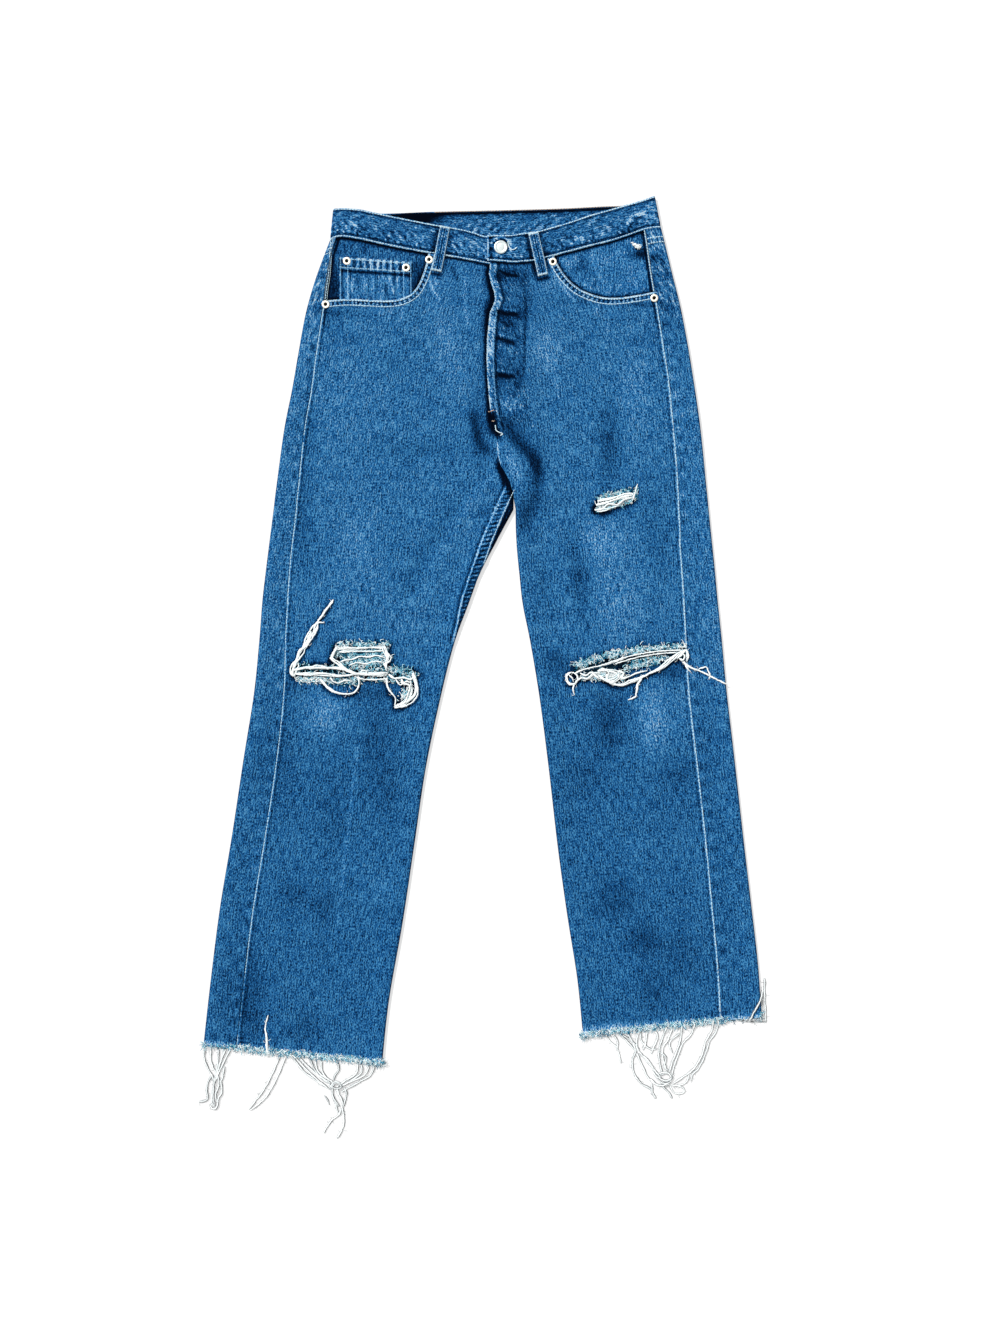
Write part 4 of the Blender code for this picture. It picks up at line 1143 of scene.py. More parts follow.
def felled_seam(x, y):
    """Wear, painted shade and relief of the right leg's felled inseam, which turns over onto the back."""
    across = 0.88 * (np.interp(y, *zip(*INSEAM_ROW)) - x)
    run = 1.13 * y
    inside = ease((across - 10.5) / 1.0) * (1.0 - ease((across + 0.6) / 1.0))
    wear = 4.4 * line(across, 0.2, 1.1) + 4.2 * line(across, 10.7, 1.2) - 1.2 * inside
    # Past the outer row, towards the leg's inner edge, the strip is painted shade.
    wear -= 2.6 * line(across, 13.2, 1.6) + 5.4 * ease((across + 1.6) / 1.0)
    wear += 2.4 * line(across, -4.8, 0.9)
    uneven = 3.6 + 1.6 * ripple(run, 23.0, 3)
    wear += line(across, 5.4, 4.2) * uneven * rungs(run + 0.25 * across, 6.0)
    relief = inside * (0.7 + 0.3 * rungs(run, 6.0))
    whole = ease((y - 222.0) / 10.0) * (1.0 - ease((y - 28.0) / 8.0))
    return whole * wear, whole * relief


def below_band(side, x, y):
    """How far a place is below the waistband's lower edge on the front."""
    return np.interp(x, *zip(*sorted(BAND_LOW[side]))) - y


def loop_shade():
    """Shade beside and at the foot of each front belt loop, as streaks."""
    streaks = []
    for loop in LOOPS[:2]:
        high, low = np.array(loop.top), np.array(loop.low)
        way = (low - high) / np.linalg.norm(low - high)
        side = np.array((way[1], -way[0]))
        streaks.append((2.4, -4.5, (high + side * 8.4, low + side * 8.4 + way * 2.0)))
        streaks.append((2.0, -2.6, (high - side * 8.2, low - side * 8.2)))
        streaks.append((2.2, -5.0, (low + side * 7.0 + way * 3.6, low - side * 7.0 + way * 3.6)))
    return streaks


def yarn_shade(side):
    """Shade that the thick yarns of the rips throw on the cloth, as streaks."""
    yarns = KNEE_YARNS[side] + (THIGH_YARNS if side == "left" else ())
    return [(1.8 + 0.25 * item.width, -2.8, [(x - 1.8, y - 2.8) for x, y in item.route])
            for item in yarns if item.width > 2.3]


def front_wear_and_shade(side, panel):
    """Wear, painted shade, relief and marbling of a front panel."""
    x, y = panel.points[..., 0], panel.points[..., 1]
    rng = np.random.default_rng(5 if side == "right" else 6)
    run = panel.cloth[..., 1]
    up = np.clip(panel.normals[..., 2], 0.0, 1.0)
    wear = (patch_wear_and_shade(x, y, PATCHES_OF_WEAR_AND_SHADE[side]) + streak_wear_and_shade(x, y, STREAKS[side])) * up
    wear = wear - 0.1 - 0.4 * ease((y + 150.0) / 250.0)
    # Painted shade where the cloth turns sideways at the folds.
    wear -= 3.2 * np.exp(-((panel.normals[..., 2] / 0.55) ** 2))
    shaded = np.maximum(streak_wear_and_shade(x, y, yarn_shade(side)), -3.4)
    wear += (streak_wear_and_shade(x, y, loop_shade()) + shaded) * up
    relief = crease_relief(x, y, CREASES[side]) * up
    marble = np.full(x.shape, 0.1)
    seam, end = panel.seam, panel.end
    strong = 0.3 + 0.7 * ease((430.0 - y) / 30.0)
    bright = np.maximum(strong, 0.5 if side == "right" else 0.85)
    edge = 1.2 if side == "right" else 1.7
    wear += bright * (4.8 + 1.6 * ripple(run, 9.0, 1)) * line(seam, 0.8, edge)
    wear -= strong * 4.2 * line(seam, 4.0, 1.5) + 0.7 * line(seam, 4.5, 2.6) * rungs(run, 6.6)
    relief -= 0.5 * line(seam, 0.0, 0.9)
    relief += 0.35 * line(seam, 3.6, 1.8)
    from_waist = panel.points[:1, :, 1] - y
    # Painted shade along the waist seam and just under the waistband's lower edge.
    wear -= 1.9 * line(from_waist, 1.0, 1.5) + 5.5 * line(below_band(side, x, y), 0.4, 1.9) * up
    fly = 1.0 - ease((y - 270.0) / 30.0)
    if side == "left":
        inside = ease((end - 8.0) / 1.2)
        low_band = ease((y - 350.0) / 30.0)
        stitched = 3.8 * line(end, 0.8, 1.1) + (1.3 - 1.2 * low_band) * inside
        wear += fly * (stitched - 2.8 * line(end, 10.6, 1.6))
        low_fly = ease((y - 418.0) / 16.0)
        wear += fly * 1.2 * low_fly * line(end, 9.0, 0.9) - fly * inside * (1.0 - low_fly) * 0.9
        wear += fly * inside * 0.7 * rungs(run, 5.6)
        relief += fly * (0.8 * ease((end - 8.0) / 2.0) + 0.18 * inside * ripple(run, 7.5, 4))
        marble += fly * (0.25 * inside + 0.45 * ease((end - 44.0) / 6.0))
        wear -= fly * 0.8 * ease((end - 44.0) / 5.0) * (1.0 - inside)
    else:
        # Painted shade on the right front along the fly's free edge, deeper at two levels.
        under = end - (panel.points[:, -1:, 0] - np.interp(
            panel.points[:, -1:, 1], *np.array(FLY_EDGE[::-1]).T[::-1]
        ))
        deep = np.exp(-(((y - 442.0) / 34.0) ** 2)) + np.exp(-(((y - 285.0) / 24.0) ** 2))
        wear -= fly * (4.6 + 4.8 * deep) * line(under, 0.5, 3.4 + 2.2 * deep)
        relief -= fly * 0.8 * line(under, 0.0, 4.0)
    if side == "right":
        seam_wear_and_shade, seam_relief = felled_seam(x, y)
        wear += seam_wear_and_shade * up
        relief += seam_relief * up
    for slit in SLITS:
        if slit.side == side:
            depth = slit_depth(x, y, slit)
            # Painted shade on the cloth round each rip.
            wear -= 2.6 * np.exp(-((np.minimum(depth, 0.0) / 6.0) ** 2)) * up
            relief += 0.5 * np.exp(-(((depth + 3.0) / 3.0) ** 2)) * up
    for key in (side, "thigh") if side == "left" else (side,):
        for fray in FRAYS[key]:
            gap, _ = near_route(x, y, (fray.start, fray.end))
            # Painted shade on the cloth under the frayed fibres.
            wear = np.minimum(wear, wear - 3.4 * np.exp(-((gap / (1.3 * fray.spread)) ** 2)) * up)
            wear = np.maximum(wear, -5.5)
    from_hem = y - panel.points[-1:, :, 1]
    band = 8.0 if side == "right" else 15.0 - 8.0 * np.clip((x - 150.0) / 100.0, 0.0, 1.0)
    wear += (3.9 + 2.0 * ripple(panel.cloth[..., 0], 2.8, 7)) * ease(from_hem / band)
    relief += 0.5 * np.exp(-from_hem / 5.0) * ripple(panel.cloth[..., 0], 17.0, 2)
    jitter = rng.normal(0.0, 0.7, x.shape[1])
    panel.points[-1, :, 1] += jitter
    return wear, relief, marble


def seam_stray(y):
    """How far the right outseam strays outward onto the yoke just under the waistband."""
    return 7.0 * ease((512.0 - y) / 32.0)


def back_wear_and_shade(side, panel, yoke):
    """Wear, painted shade, relief and marbling of a back panel or yoke."""
    x, y = panel.points[..., 0], panel.points[..., 1]
    s, run = panel.cloth[..., 0], panel.cloth[..., 1]
    up = np.clip(panel.normals[..., 2], 0.0, 1.0)
    wear = 0.55 * patch_wear_and_shade(x, y, PATCHES_OF_WEAR_AND_SHADE[side]) - 0.2 - 0.4 * ease((y + 150.0) / 250.0)
    # The second term is painted shade where the cloth turns sideways at the folds.
    wear += 0.3 * np.exp(-((s / 24.0) ** 2)) - 3.0 * np.exp(-((panel.normals[..., 2] / 0.55) ** 2))
    wear += streak_wear_and_shade(x, y, STREAKS[side]) * up
    wear += 0.9 * up * line(panel.seam, 5.0, 3.2) * rungs(run, 6.0)
    relief = -crease_relief(x, y, BACK_CREASES[side]) * np.clip(-panel.normals[..., 2], 0.0, 1.0)
    marble = 0.12 + 0.6 * up * ease((440.0 - y) / 30.0)
    seam, end = panel.seam, panel.end
    on_top = 1.0 - ease(1.0 - s / 2.0)
    moved = seam_stray(y) if side == "right" else 0.0 * y
    strayed = 5.0 * line(seam, moved, 1.1) - 4.6 * ease((seam - moved + 2.2) / 1.2)
    wear += on_top * (moved > 0.5) * strayed
    ropes = (2.4 + 1.5 * ripple(run, 45.0, 6) + ripple(run, 8.0, 6)) * line(seam, 3.6, 0.9)
    wear += on_top * (ropes - 0.35 - 3.4 * line(seam, 1.0, 1.3) - 1.4 * line(seam, 6.2, 1.4))
    relief -= on_top * 0.5 * line(seam, 0.0, 0.9)
    relief += on_top * 0.35 * line(seam, 3.4, 1.2)
    wear -= 1.7 * np.exp(-((end / 3.0) ** 2)) * ease((y - 214.0) / 8.0)
    seat = 1.0 - ease((y - 205.0) / 10.0)
    if side == "right":
        seam_wear_and_shade, seam_relief = felled_seam(x, y)
        wear += seam_wear_and_shade * up
        relief += seam_relief * up
        row = ease((y - 22.0) / 12.0)
        wear += row * (2.2 * line(end, 3.0, 1.1) + 2.0 * line(end, 13.0, 1.1))
        wear += row * line(end, 8.0, 4.0) * 1.6 * rungs(run, 6.0)
    if side == "left":
        wear += seat * (1.3 * line(end, 1.0, 0.9) + 0.8 * line(end, 9.0, 0.9))
        relief += seat * 0.25 * ripple(run, 6.5, 2) * ease((end - 8.5) / 1.5)
    from_top = panel.points[:1, :, 1] - y
    if yoke:
        wear -= 1.2 * line(from_top, 1.0, 1.5)
        from_low = y - panel.points[-1:, :, 1]
        wear += 1.2 * line(from_low, 0.8, 0.9) + 0.7 * line(from_low, 8.4, 0.9)
    else:
        wear -= 1.1 * line(from_top, 1.0, 1.3)
        from_hem = y - panel.points[-1:, :, 1]
        wear += (3.8 + 1.4 * ripple(s, 2.8, 3)) * ease(from_hem / 8.0)
        rng = np.random.default_rng(7 if side == "right" else 8)
        panel.points[-1, :, 1] += rng.normal(0.0, 0.7, x.shape[1])
    return wear, relief, marble


def raised(panel, relief):
    """A panel with its relief, kept above the floor."""
    points = panel.points + panel.normals * relief[..., None]
    points[..., 2] = np.maximum(points[..., 2], 0.0)
    return panel._replace(points=points)


def build_panels(sizes):
    wall = sizes.denim_wall / MM
    last = len(HIPS["right"]) + len(LEGS["right"]) - 1.0
    finishes = ("denim", "inside")
    for side in SIDES:
        zones = ((600.0, 500.0, 1.5), (36.0, -26.0, 1.6), *FINE_ZONES[side])
        panel = panel_grid(side, row_places(side, 0.0, last, 3.5, zones), front_columns, True)
        wear, relief, marble = front_wear_and_shade(side, panel)
        panel = raised(panel, relief)
        centres = faces_centres(panel.points)
        mouth = kept_in_mouth(side, centres)
        keep = mouth & in_one_piece(side, centres)
        lay_panel(f"front_{side}", panel, wear, marble, finishes, wall, keep=keep)
        FRONTS[side] = grid_tree(panel.points)
        LAID.append(grid_tree(panel.points, mouth))
        for name, yoke in ((f"yoke_{side}", True), (f"back_{side}", False)):
            start, stop = (0.0, 1.0) if yoke else (1.0, last)
            fine = FINE_ZONES[side] if side == "right" and not yoke else ()
            places = row_places(side, start, stop, 1.6 if yoke else 4.6, fine)
            panel = panel_grid(side, places, back_columns, False)
            wear, relief, marble = back_wear_and_shade(side, panel, yoke)
            panel = raised(panel, relief)
            lay_panel(name, panel, wear, marble, finishes, wall)
            LAID.append(grid_tree(panel.points))


def in_one_piece(side, centres):
    """True for faces that no rip takes out."""
    x, y = centres[..., 0], centres[..., 1]
    ragged = 0.9 * ripple(x, 4.3, 1) + 0.7 * ripple(x + y, 2.9, 5)
    whole = np.ones(x.shape, bool)
    for slit in SLITS:
        if slit.side == side:
            whole &= (slit_depth(x, y, slit) < ragged) | (centres[..., 2] < LEG_MIDDLE / 2.0)
    return whole


def grid_tree(points, keep=None):
    return BVHTree.FromPolygons(points.reshape(-1, 3).tolist(), grid_quads(points, keep).tolist())


def lay_panel(node, panel, wear, marble, finishes, wall, keep=None):
    """Make a panel's sheet, thicken it, stand it for its node and say how it was cut."""
    thing = cloth_object(
        f"{node}_denim", panel.points, panel.cloth, wear, marble, finishes, panel.normals, keep
    )
    thicken(thing, wall, inside=1)
    stand(thing, node)
    PANELS[node] = panel


# ---------------------------------------------------------------- waistband

BAND_LEVELS = (
    0, 0.02, 0.045, 0.075, 0.12, 0.18, 0.26, 0.36, 0.47, 0.58, 0.69, 0.78, 0.86, 0.91, 0.945, 0.975, 1,
)
BAND_FRONT_COLUMNS = 78
BAND_BACK_COLUMNS = 62
BAND_ENDS = {"right": 44.0, "left": 6.5}


def band_edge(side, table, sag_height):
    """Row of the waistband's lower or upper edge, with its levels across front and back."""
    seam = hip_row(side, 0.0)
    outer = table[side][0]
    return seam._replace(
        outer=outer, back=(seam.back[0], seam.back[1] + sag_height), bow=None,
        front=(9.6 if side == "left" else seam.front[0], seam.front[1]),
        centre=BAND_HEIGHTS[side], plateau=END_LAP if side == "left" else 0.0, fall=BAND_FALL,
    )


def band_line(side, table, sag_height):
    """Outside points, normals and places round one half of the band, front end first."""
    row = band_edge(side, table, sag_height)
    bend = quarter(row)
    front = abs(BAND_ENDS[side] - row.outer[0]) - fold_radius(row)
    back = flat_run(row, row.back)
    s = np.concatenate([
        bend + front * np.linspace(1.0, 0.0, BAND_FRONT_COLUMNS) ** 1.04,
        np.linspace(bend, -bend, 9)[1:-1],
        -(bend + back * np.linspace(0.0, 1.0, BAND_BACK_COLUMNS)),
    ])
    points, normals = contour(row, s)
    front_y = curve_value(table[side], points[:, 0])
    share = np.clip(
        (points[:, 0] - row.outer[0]) / (row.back[0] - row.outer[0]), 0.0, 1.0
    )
    back_y = row.outer[1] + (row.back[1] - row.outer[1]) * share
    back_y = back_y + curve_value(BACK_SAG[side], share)
    turn = np.clip(0.5 - s / (2.0 * bend), 0.0, 1.0)
    points[:, 1] = front_y * (1.0 - turn) + back_y * turn
    return points, normals, s


def build_waistband(sizes):
    halves = []
    for side in SIDES:
        low, normals, s = band_line(side, BAND_LOW, 0.0)
        high, _, _ = band_line(side, BAND_TOP, BAND_BACK_HEIGHT)
        share = np.array(BAND_LEVELS)[:, None, None]
        points = low[None] * (1.0 - share) + high[None] * share
        halves.append((points, np.broadcast_to(normals, points.shape), s))
    points = np.concatenate([halves[0][0], halves[1][0][:, -2::-1]], axis=1)
    normals = np.concatenate([halves[0][1], halves[1][1][:, -2::-1]], axis=1)
    middle = points[len(BAND_LEVELS) // 2]
    run = run_along(middle)
    height = np.linalg.norm(points[-1] - points[0], axis=1)
    low = np.array(BAND_LEVELS)[:, None] * height
    high = height - low
    run = np.broadcast_to(run, low.shape)
    from_end = run[:, -1:] - run
    x, y = points[..., 0], points[..., 1]
    on_front = np.clip(normals[..., 2], 0.0, 1.0)
    wear = -0.4 + 3.8 * line(high, 0.5, 0.9) - 2.8 * line(high, 2.9, 1.2)
    wear += 3.8 * line(low, 1.2, 0.8) - 3.4 * line(low, 3.8, 1.2)
    wear += 4.0 * ripple(run + 0.5 * low, 7.6, 2) * line(low, 7.0, 3.2)
    wear += 3.8 * ripple(run + 2.1 * low, 13.0, 4) * line(low, 14.5, 5.0)
    wear += 2.6 * ripple(run + 1.8 * low, 19.0, 4) * line(high, 8.0, 5.0)
    wear += 7.0 * line(from_end, 0.8, 1.2) - 5.0 * line(from_end, 3.6, 1.5)
    wear += patch_wear_and_shade(x, y, (
        (-30, 512, 16, 12, 0, 0.6), (-160, 530, 24, 14, 0, 0.3), (176, 520, 16, 12, 20, -1.2),
        (26, 494, 18, 6, 0, 0.6), (200, 545, 12, 14, 0, 0.9), (90, 505, 24, 10, 14, -0.5),
        (24, 512, 12, 6, 0, -0.7), (-120, 515, 30, 8, -10, -0.4),
    )) * on_front
    wear += on_front * streak_wear_and_shade(x, y, (
        (1.5, 6.4, ((172, 527), (177, 537), (186, 543.5), (195, 545.5))),
        (1.6, -4.0, ((174, 525), (181, 536), (190, 541))), (2.0, -2.0, ((-150, 521), (-138, 529))),
        (1.4, 2.4, ((-168, 520), (-160, 531), (-148, 534))), (1.3, 2.6, ((-4, 498), (6, 504), (8, 514))),
        (1.4, 2.4, ((104, 505), (112, 514), (124, 518))), (1.6, 2.2, ((-104, 508), (-96, 519))),
        (1.4, 2.4, ((-84, 506), (-76, 514), (-66, 517))), (1.6, -2.4, ((66, 493), (78, 499))),
        (1.4, 2.2, ((34, 499), (37, 507), (31, 513))), (1.6, 2.0, ((140, 516), (150, 526))),
    ))
    wear += on_front * streak_wear_and_shade(x, y, loop_shade())
    lining = ease(on_front / 0.1)
    wear -= lining * (0.4 * line(high, 0.6, 1.1) + 4.4 * line(high, 3.6, 1.6))
    # A worn ring (light) and painted shade (dark) just round the upper side of the waist button.
    ring = np.hypot(x - WAIST_BUTTON[0], y - WAIST_BUTTON[1])
    turn = np.arctan2(y - WAIST_BUTTON[1] + 3.0, x - WAIST_BUTTON[0])
    reach = ease((np.abs(turn - 1.7) - 1.5) / 0.4)
    wear += on_front * reach * (6.0 * line(ring, 12.0, 1.1) - 5.4 * line(ring, 9.6, 1.3))
    # Shade in the waist opening; it also darkens the outside of the back there.
    wear -= 11.0 * lining * patch_wear_and_shade(x, y, ((-80, 541, 25, 7, 0, 1.0),))
    relief = 0.28 * ripple(run + 1.1 * low, 13.0, 5) * line(low, 12.0, 10.0)
    relief += 0.22 * ripple(run - 0.8 * low, 9.0, 3) * line(high, 8.0, 7.0)
    relief -= 0.5 * line(low, 0.0, 0.7) + 0.5 * line(high, 0.0, 0.7)
    relief -= 0.25 * line(low, 2.4, 0.8) + 0.25 * line(high, 2.6, 0.8)
    cloth = np.stack([low, run, np.full(low.shape, 0.0)], axis=-1)
    panel = raised(Panel(points, normals, cloth, low, high), relief)
    lay_panel("waistband", panel, wear, 0.42, ("denim",), sizes.band_wall / MM)
    LAID.append(grid_tree(panel.points))


# ---------------------------------------------------------------- pockets and fly

FACING_DEPTH = 2.0
COIN_DEPTH = 0.9
# Corners of the facings and the coin pocket: outer top, inner top, inner low, outer low
FACINGS = {
    "right": ((-177, 520), (-52, 499), (-52, 424), (-196, 424)),
    "left": ((200, 529.5), (78, 495.5), (78, 430), (216, 430)),
}
# Patches of wear and painted shade on the facings: x, y, reach across, reach along, tilt, amount; the
# dark one at (190, 497) is painted shadow under the lint tuft.
FACING_PATCHES = {
    "right": (
        (-178, 455, 8, 30, 0, -3.2), (-120, 508, 60, 6, -8, -0.8), (-120, 501, 60, 5, -8, 0.3),
        (-77, 470, 7, 20, 0, -2.6),
    ),
    "left": (
        (190, 497, 6, 5, 0, -4), (118, 478, 15, 9, 30, -1.2), (150, 492, 30, 8, 14, 0.5),
        (185, 470, 12, 26, 0, 0.5), (104, 486, 9, 6, 0, 0.8), (186, 494, 14, 6, 0, -1.2),
        (150, 458, 34, 6, 0, 0.4),
    ),
}
FACING_CREASES = {
    "right": (),
    "left": ((9, -0.9, ((104, 470), (128, 486))), (10, 0.5, ((120, 466), (150, 490)))),
}
COIN_STREAKS = (
    (1.4, 2.8, ((-161, 472), (-159, 457), (-160, 446))),
    (1.2, 2.2, ((-155, 468), (-157, 457), (-156, 450))),
    (1.4, 2.8, ((-121, 474), (-116, 466), (-114, 461))),
    (1.4, 3, ((-112, 472), (-108, 461), (-106, 448))), (1.4, 3, ((-99, 476), (-102, 464), (-99, 450))),
    (1.2, 2.4, ((-89.6, 472), (-88, 461), (-90, 450))), (2, -2.2, ((-150, 472), (-150, 460))),
    (2.4, -1.8, ((-118, 460), (-112, 448), (-111, 440))),
    (2, -2.2, ((-104, 474), (-105, 462), (-103, 452))), (1.4, 1.8, ((-141, 470), (-139, 456))),
)
COIN_POCKET = ((-171, 493), (-84, 487), (-84, 418), (-171, 418))
HEM_OFFSETS = (-0.5, 0, 0.6, 1.3, 2.1, 3, 4, 5, 6, 6.9, 7.6, 8.1, 8.6)
HEM_RISE = (-0.9, -0.1, 0.5, 0.65, 0.6, 0.68, 0.7, 0.7, 0.66, 0.58, 0.45, 0.2, -0.15)
# Back patch pockets: centre, top, side and point level, width at the top and at the sides
PATCH_POCKETS = {
    "right": (-96, 440, 318, 300, 150, 132),
    "left": (122, 443, 320, 302, 150, 132),
}


def front_level(side, x, y):
    """Height of the front's outside, as if nothing were cut out of it."""
    for drop in (0.0, 2.0, 5.0, 9.0, 14.0, 20.0):
        hit = FRONTS[side].ray_cast(Vector((x, y - drop, 60.0)), Vector((0.0, 0.0, -1.0)))[0]
        if hit is not None:
            return hit.z
    return 0.0


def laid_sheet(side, corners, columns, rows, depth, crowd=1.0):
    """A grid between four corners, a depth below the front's outside, finer at its start."""
    corners = np.array(corners, float)
    u = np.linspace(0.0, 1.0, columns)[None, :, None] ** crowd
    v = np.linspace(0.0, 1.0, rows)[:, None, None] ** crowd
    high = corners[0] * (1.0 - u) + corners[1] * u
    low = corners[3] * (1.0 - u) + corners[2] * u
    plan = high * (1.0 - v) + low * v
    if crowd > 1.0:
        seam = PANELS[f"front_{side}"].points[::-1, 0]
        outer = np.interp(plan[..., 1], seam[:, 1], seam[:, 0])
        outer = outer + (-2.0 if side == "right" else 2.0)
        plan[..., 0] = outer + (plan[:, -1:, 0] - outer) * u[..., 0]
    z = np.array([[front_level(side, x, y) - depth for x, y in row] for row in plan])
    z = np.maximum(z, 3.0)
    return np.concatenate([plan, z[..., None]], axis=-1)


def straight_up(points):
    up = np.zeros(points.shape)
    up[..., 2] = 1.0
    return up


def level_panel(points, patch, seam=None, end=None):
    """A panel that faces straight up, cut from its own patch of cloth."""
    x, y = points[..., 0], points[..., 1]
    cloth = np.stack([x, y, np.full(x.shape, patch)], axis=-1)
    return Panel(points, straight_up(points), cloth, seam, end)


def build_front_pockets(sizes):
    wall = sizes.denim_wall / MM
    for side in SIDES:
        points = laid_sheet(side, FACINGS[side], 76, 64, FACING_DEPTH, 1.35)
        x, y = points[..., 0], points[..., 1]
        gap, _ = near_route(x, y, MOUTHS[side])
        wear = (-0.4 if side == "right" else 0.1) + 0.3 * ripple(x + 0.4 * y, 31.0, 2)
        # Painted shade on the facing along the pocket mouth and under the waistband.
        wear -= 5.5 * line(gap, 0.0, 2.6)
        wear -= 6.0 * line(below_band(side, x, y), 0.6, 2.0)
        seam = PANELS[f"front_{side}"].points[::-1, 0]
        inward = (x - np.interp(y, seam[:, 1], seam[:, 0])) * (1.0 if side == "right" else -1.0)
        straight = 1.0 - ease((512.0 - y) / 32.0) if side == "right" else 1.0
        wear += straight * 6.4 * line(inward, 0.4, 1.3) - 5.0 * line(inward, 3.8, 1.8)
        wear += patch_wear_and_shade(x, y, FACING_PATCHES[side])
        points[..., 2] += crease_relief(x, y, FACING_CREASES[side])
        lay_panel(f"pocket_facing_{side}", level_panel(points, 40.0), wear, 0.3, ("dark_denim",),
                  wall)
        LAID.append(grid_tree(points))
        mouth_hem(side, wall)
    coin_pocket(wall)


def mouth_hem(side, wall):
    """The turned and twice-stitched edge of a front pocket's mouth."""
    sign = 1.0 if side == "right" else -1.0
    path = route_points(MOUTHS[side], 1.4)
    run = 1.4 * np.arange(len(path))[:, None]
    lines = []
    for offset, rise in zip(HEM_OFFSETS, HEM_RISE):
        edge = beside_route(path, sign * offset)
        bed = beside_route(path, sign * max(offset, 2.6))
        z = np.array([front_level(side, x, y) for x, y in bed])
        lines.append(np.column_stack([edge, z + rise]))
    points = np.stack(lines, axis=1)
    offset = np.broadcast_to(np.array(HEM_OFFSETS), points.shape[:2])
    inside = line(offset, 4.3, 2.4)
    points[..., 2] += 0.2 * inside * ripple(run, 6.0, 3)
    wear = -0.3 + 5.0 * line(offset, 0.4, 1.0) - 2.4 * line(offset, 2.3, 0.9)
    wear += inside * (-0.5 + 3.0 * rungs(run, 5.2)) + 3.6 * line(offset, 7.4, 0.9)
    wear -= 1.5 * line(offset, 6.2, 0.7)
    cloth = np.stack([offset, run + 0.0 * offset, np.full(offset.shape, 60.0)], axis=-1)
    up = straight_up(points)
    thing = cloth_object(f"pocket_hem_{side}_denim", points, cloth, wear, 0.6, ("denim",), up)
    thicken(thing, wall * 0.8)
    stand(thing)
    LAID.append(grid_tree(points))
    PANELS[f"pocket_hem_{side}"] = Panel(points, up, cloth, offset, offset)


def coin_pocket(wall):
    """The small pocket on the right facing, with a hem along its top."""
    points = laid_sheet("right", COIN_POCKET, 60, 46, COIN_DEPTH)
    x, y = points[..., 0], points[..., 1]
    top_y = points[:1, :, 1]
    down, outer, inner = top_y - y, x - x[:, :1], x[:, -1:] - x
    hem = ease((down - 12.5) / 1.2)
    sides = line(np.minimum(outer, inner), 0.0, 3.0)
    points[..., 2] += 0.6 * hem * ease(0.6 - down) + 0.55 * hem - 0.5 * sides * (1.0 - hem)
    points[..., 2] += 0.3 * (1.0 - hem) * ripple(x, 11.0, 3) * line(down, 20.0, 14.0)
    wear = -0.1 + 3.2 * line(down, 0.7, 1.1) + 2.4 * line(down, 13.2, 1.0)
    wear += hem * (2.4 * rungs(x, 8.0) + 1.4 * line(x, -120.0, 22.0) - 0.8)
    # Painted shadow just under the coin pocket's hem.
    wear -= 5.0 * line(down, 16.0, 1.8)
    wear += 0.66 * streak_wear_and_shade(x, y, COIN_STREAKS)
    wear += (1.0 - hem) * 1.2 * ripple(x + 0.05 * y, 10.5, 6) * line(down, 30.0, 22.0)
    for place in (outer, inner):
        wear += 1.8 * line(place, 0.6, 1.0) - 2.0 * line(place, 2.8, 1.2)
        wear += 1.5 * line(place, 10.4, 1.0) - 1.8 * line(place, 12.6, 1.1)
    wear -= 0.6 * line(outer, 5.5, 3.0) + 0.7 * line(inner, 5.5, 3.0)
    panel = level_panel(points, 80.0, outer + 0.0 * y, down)
    lay_panel("coin_pocket", panel, wear, 0.2 + 0.5 * hem, ("denim",), wall)
    LAID.append(grid_tree(points))


def build_fly(sizes):
    """The button side of the fly under the left front."""
    columns, rows = 14, 60
    u, v = np.meshgrid(np.linspace(0.0, 1.0, columns), np.linspace(0.0, 1.0, rows))
    y = 482.5 - 166.5 * v
    width = 40.0 - 12.0 * np.clip((346.0 - y) / 30.0, 0.0, 1.0)
    x = 12.0 + width * u
    z = 4.6 + 0.12 * ripple(y, 14.0, 1)
    points = np.stack([x, y, z], axis=-1)
    wear = -0.6 + 1.2 * line(width * u, 0.5, 1.0) + 1.2 * line(width * (1.0 - u), 0.5, 1.0)
    lay_panel("fly_extension", level_panel(points, 100.0), wear, 0.4, ("dark_denim",),
              sizes.denim_wall / MM)
    for number in (1, 2, 3):
        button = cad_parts[f"fly_button_{number}"]
        for slot in button.material_slots:
            slot.material = finish_of("nickel")


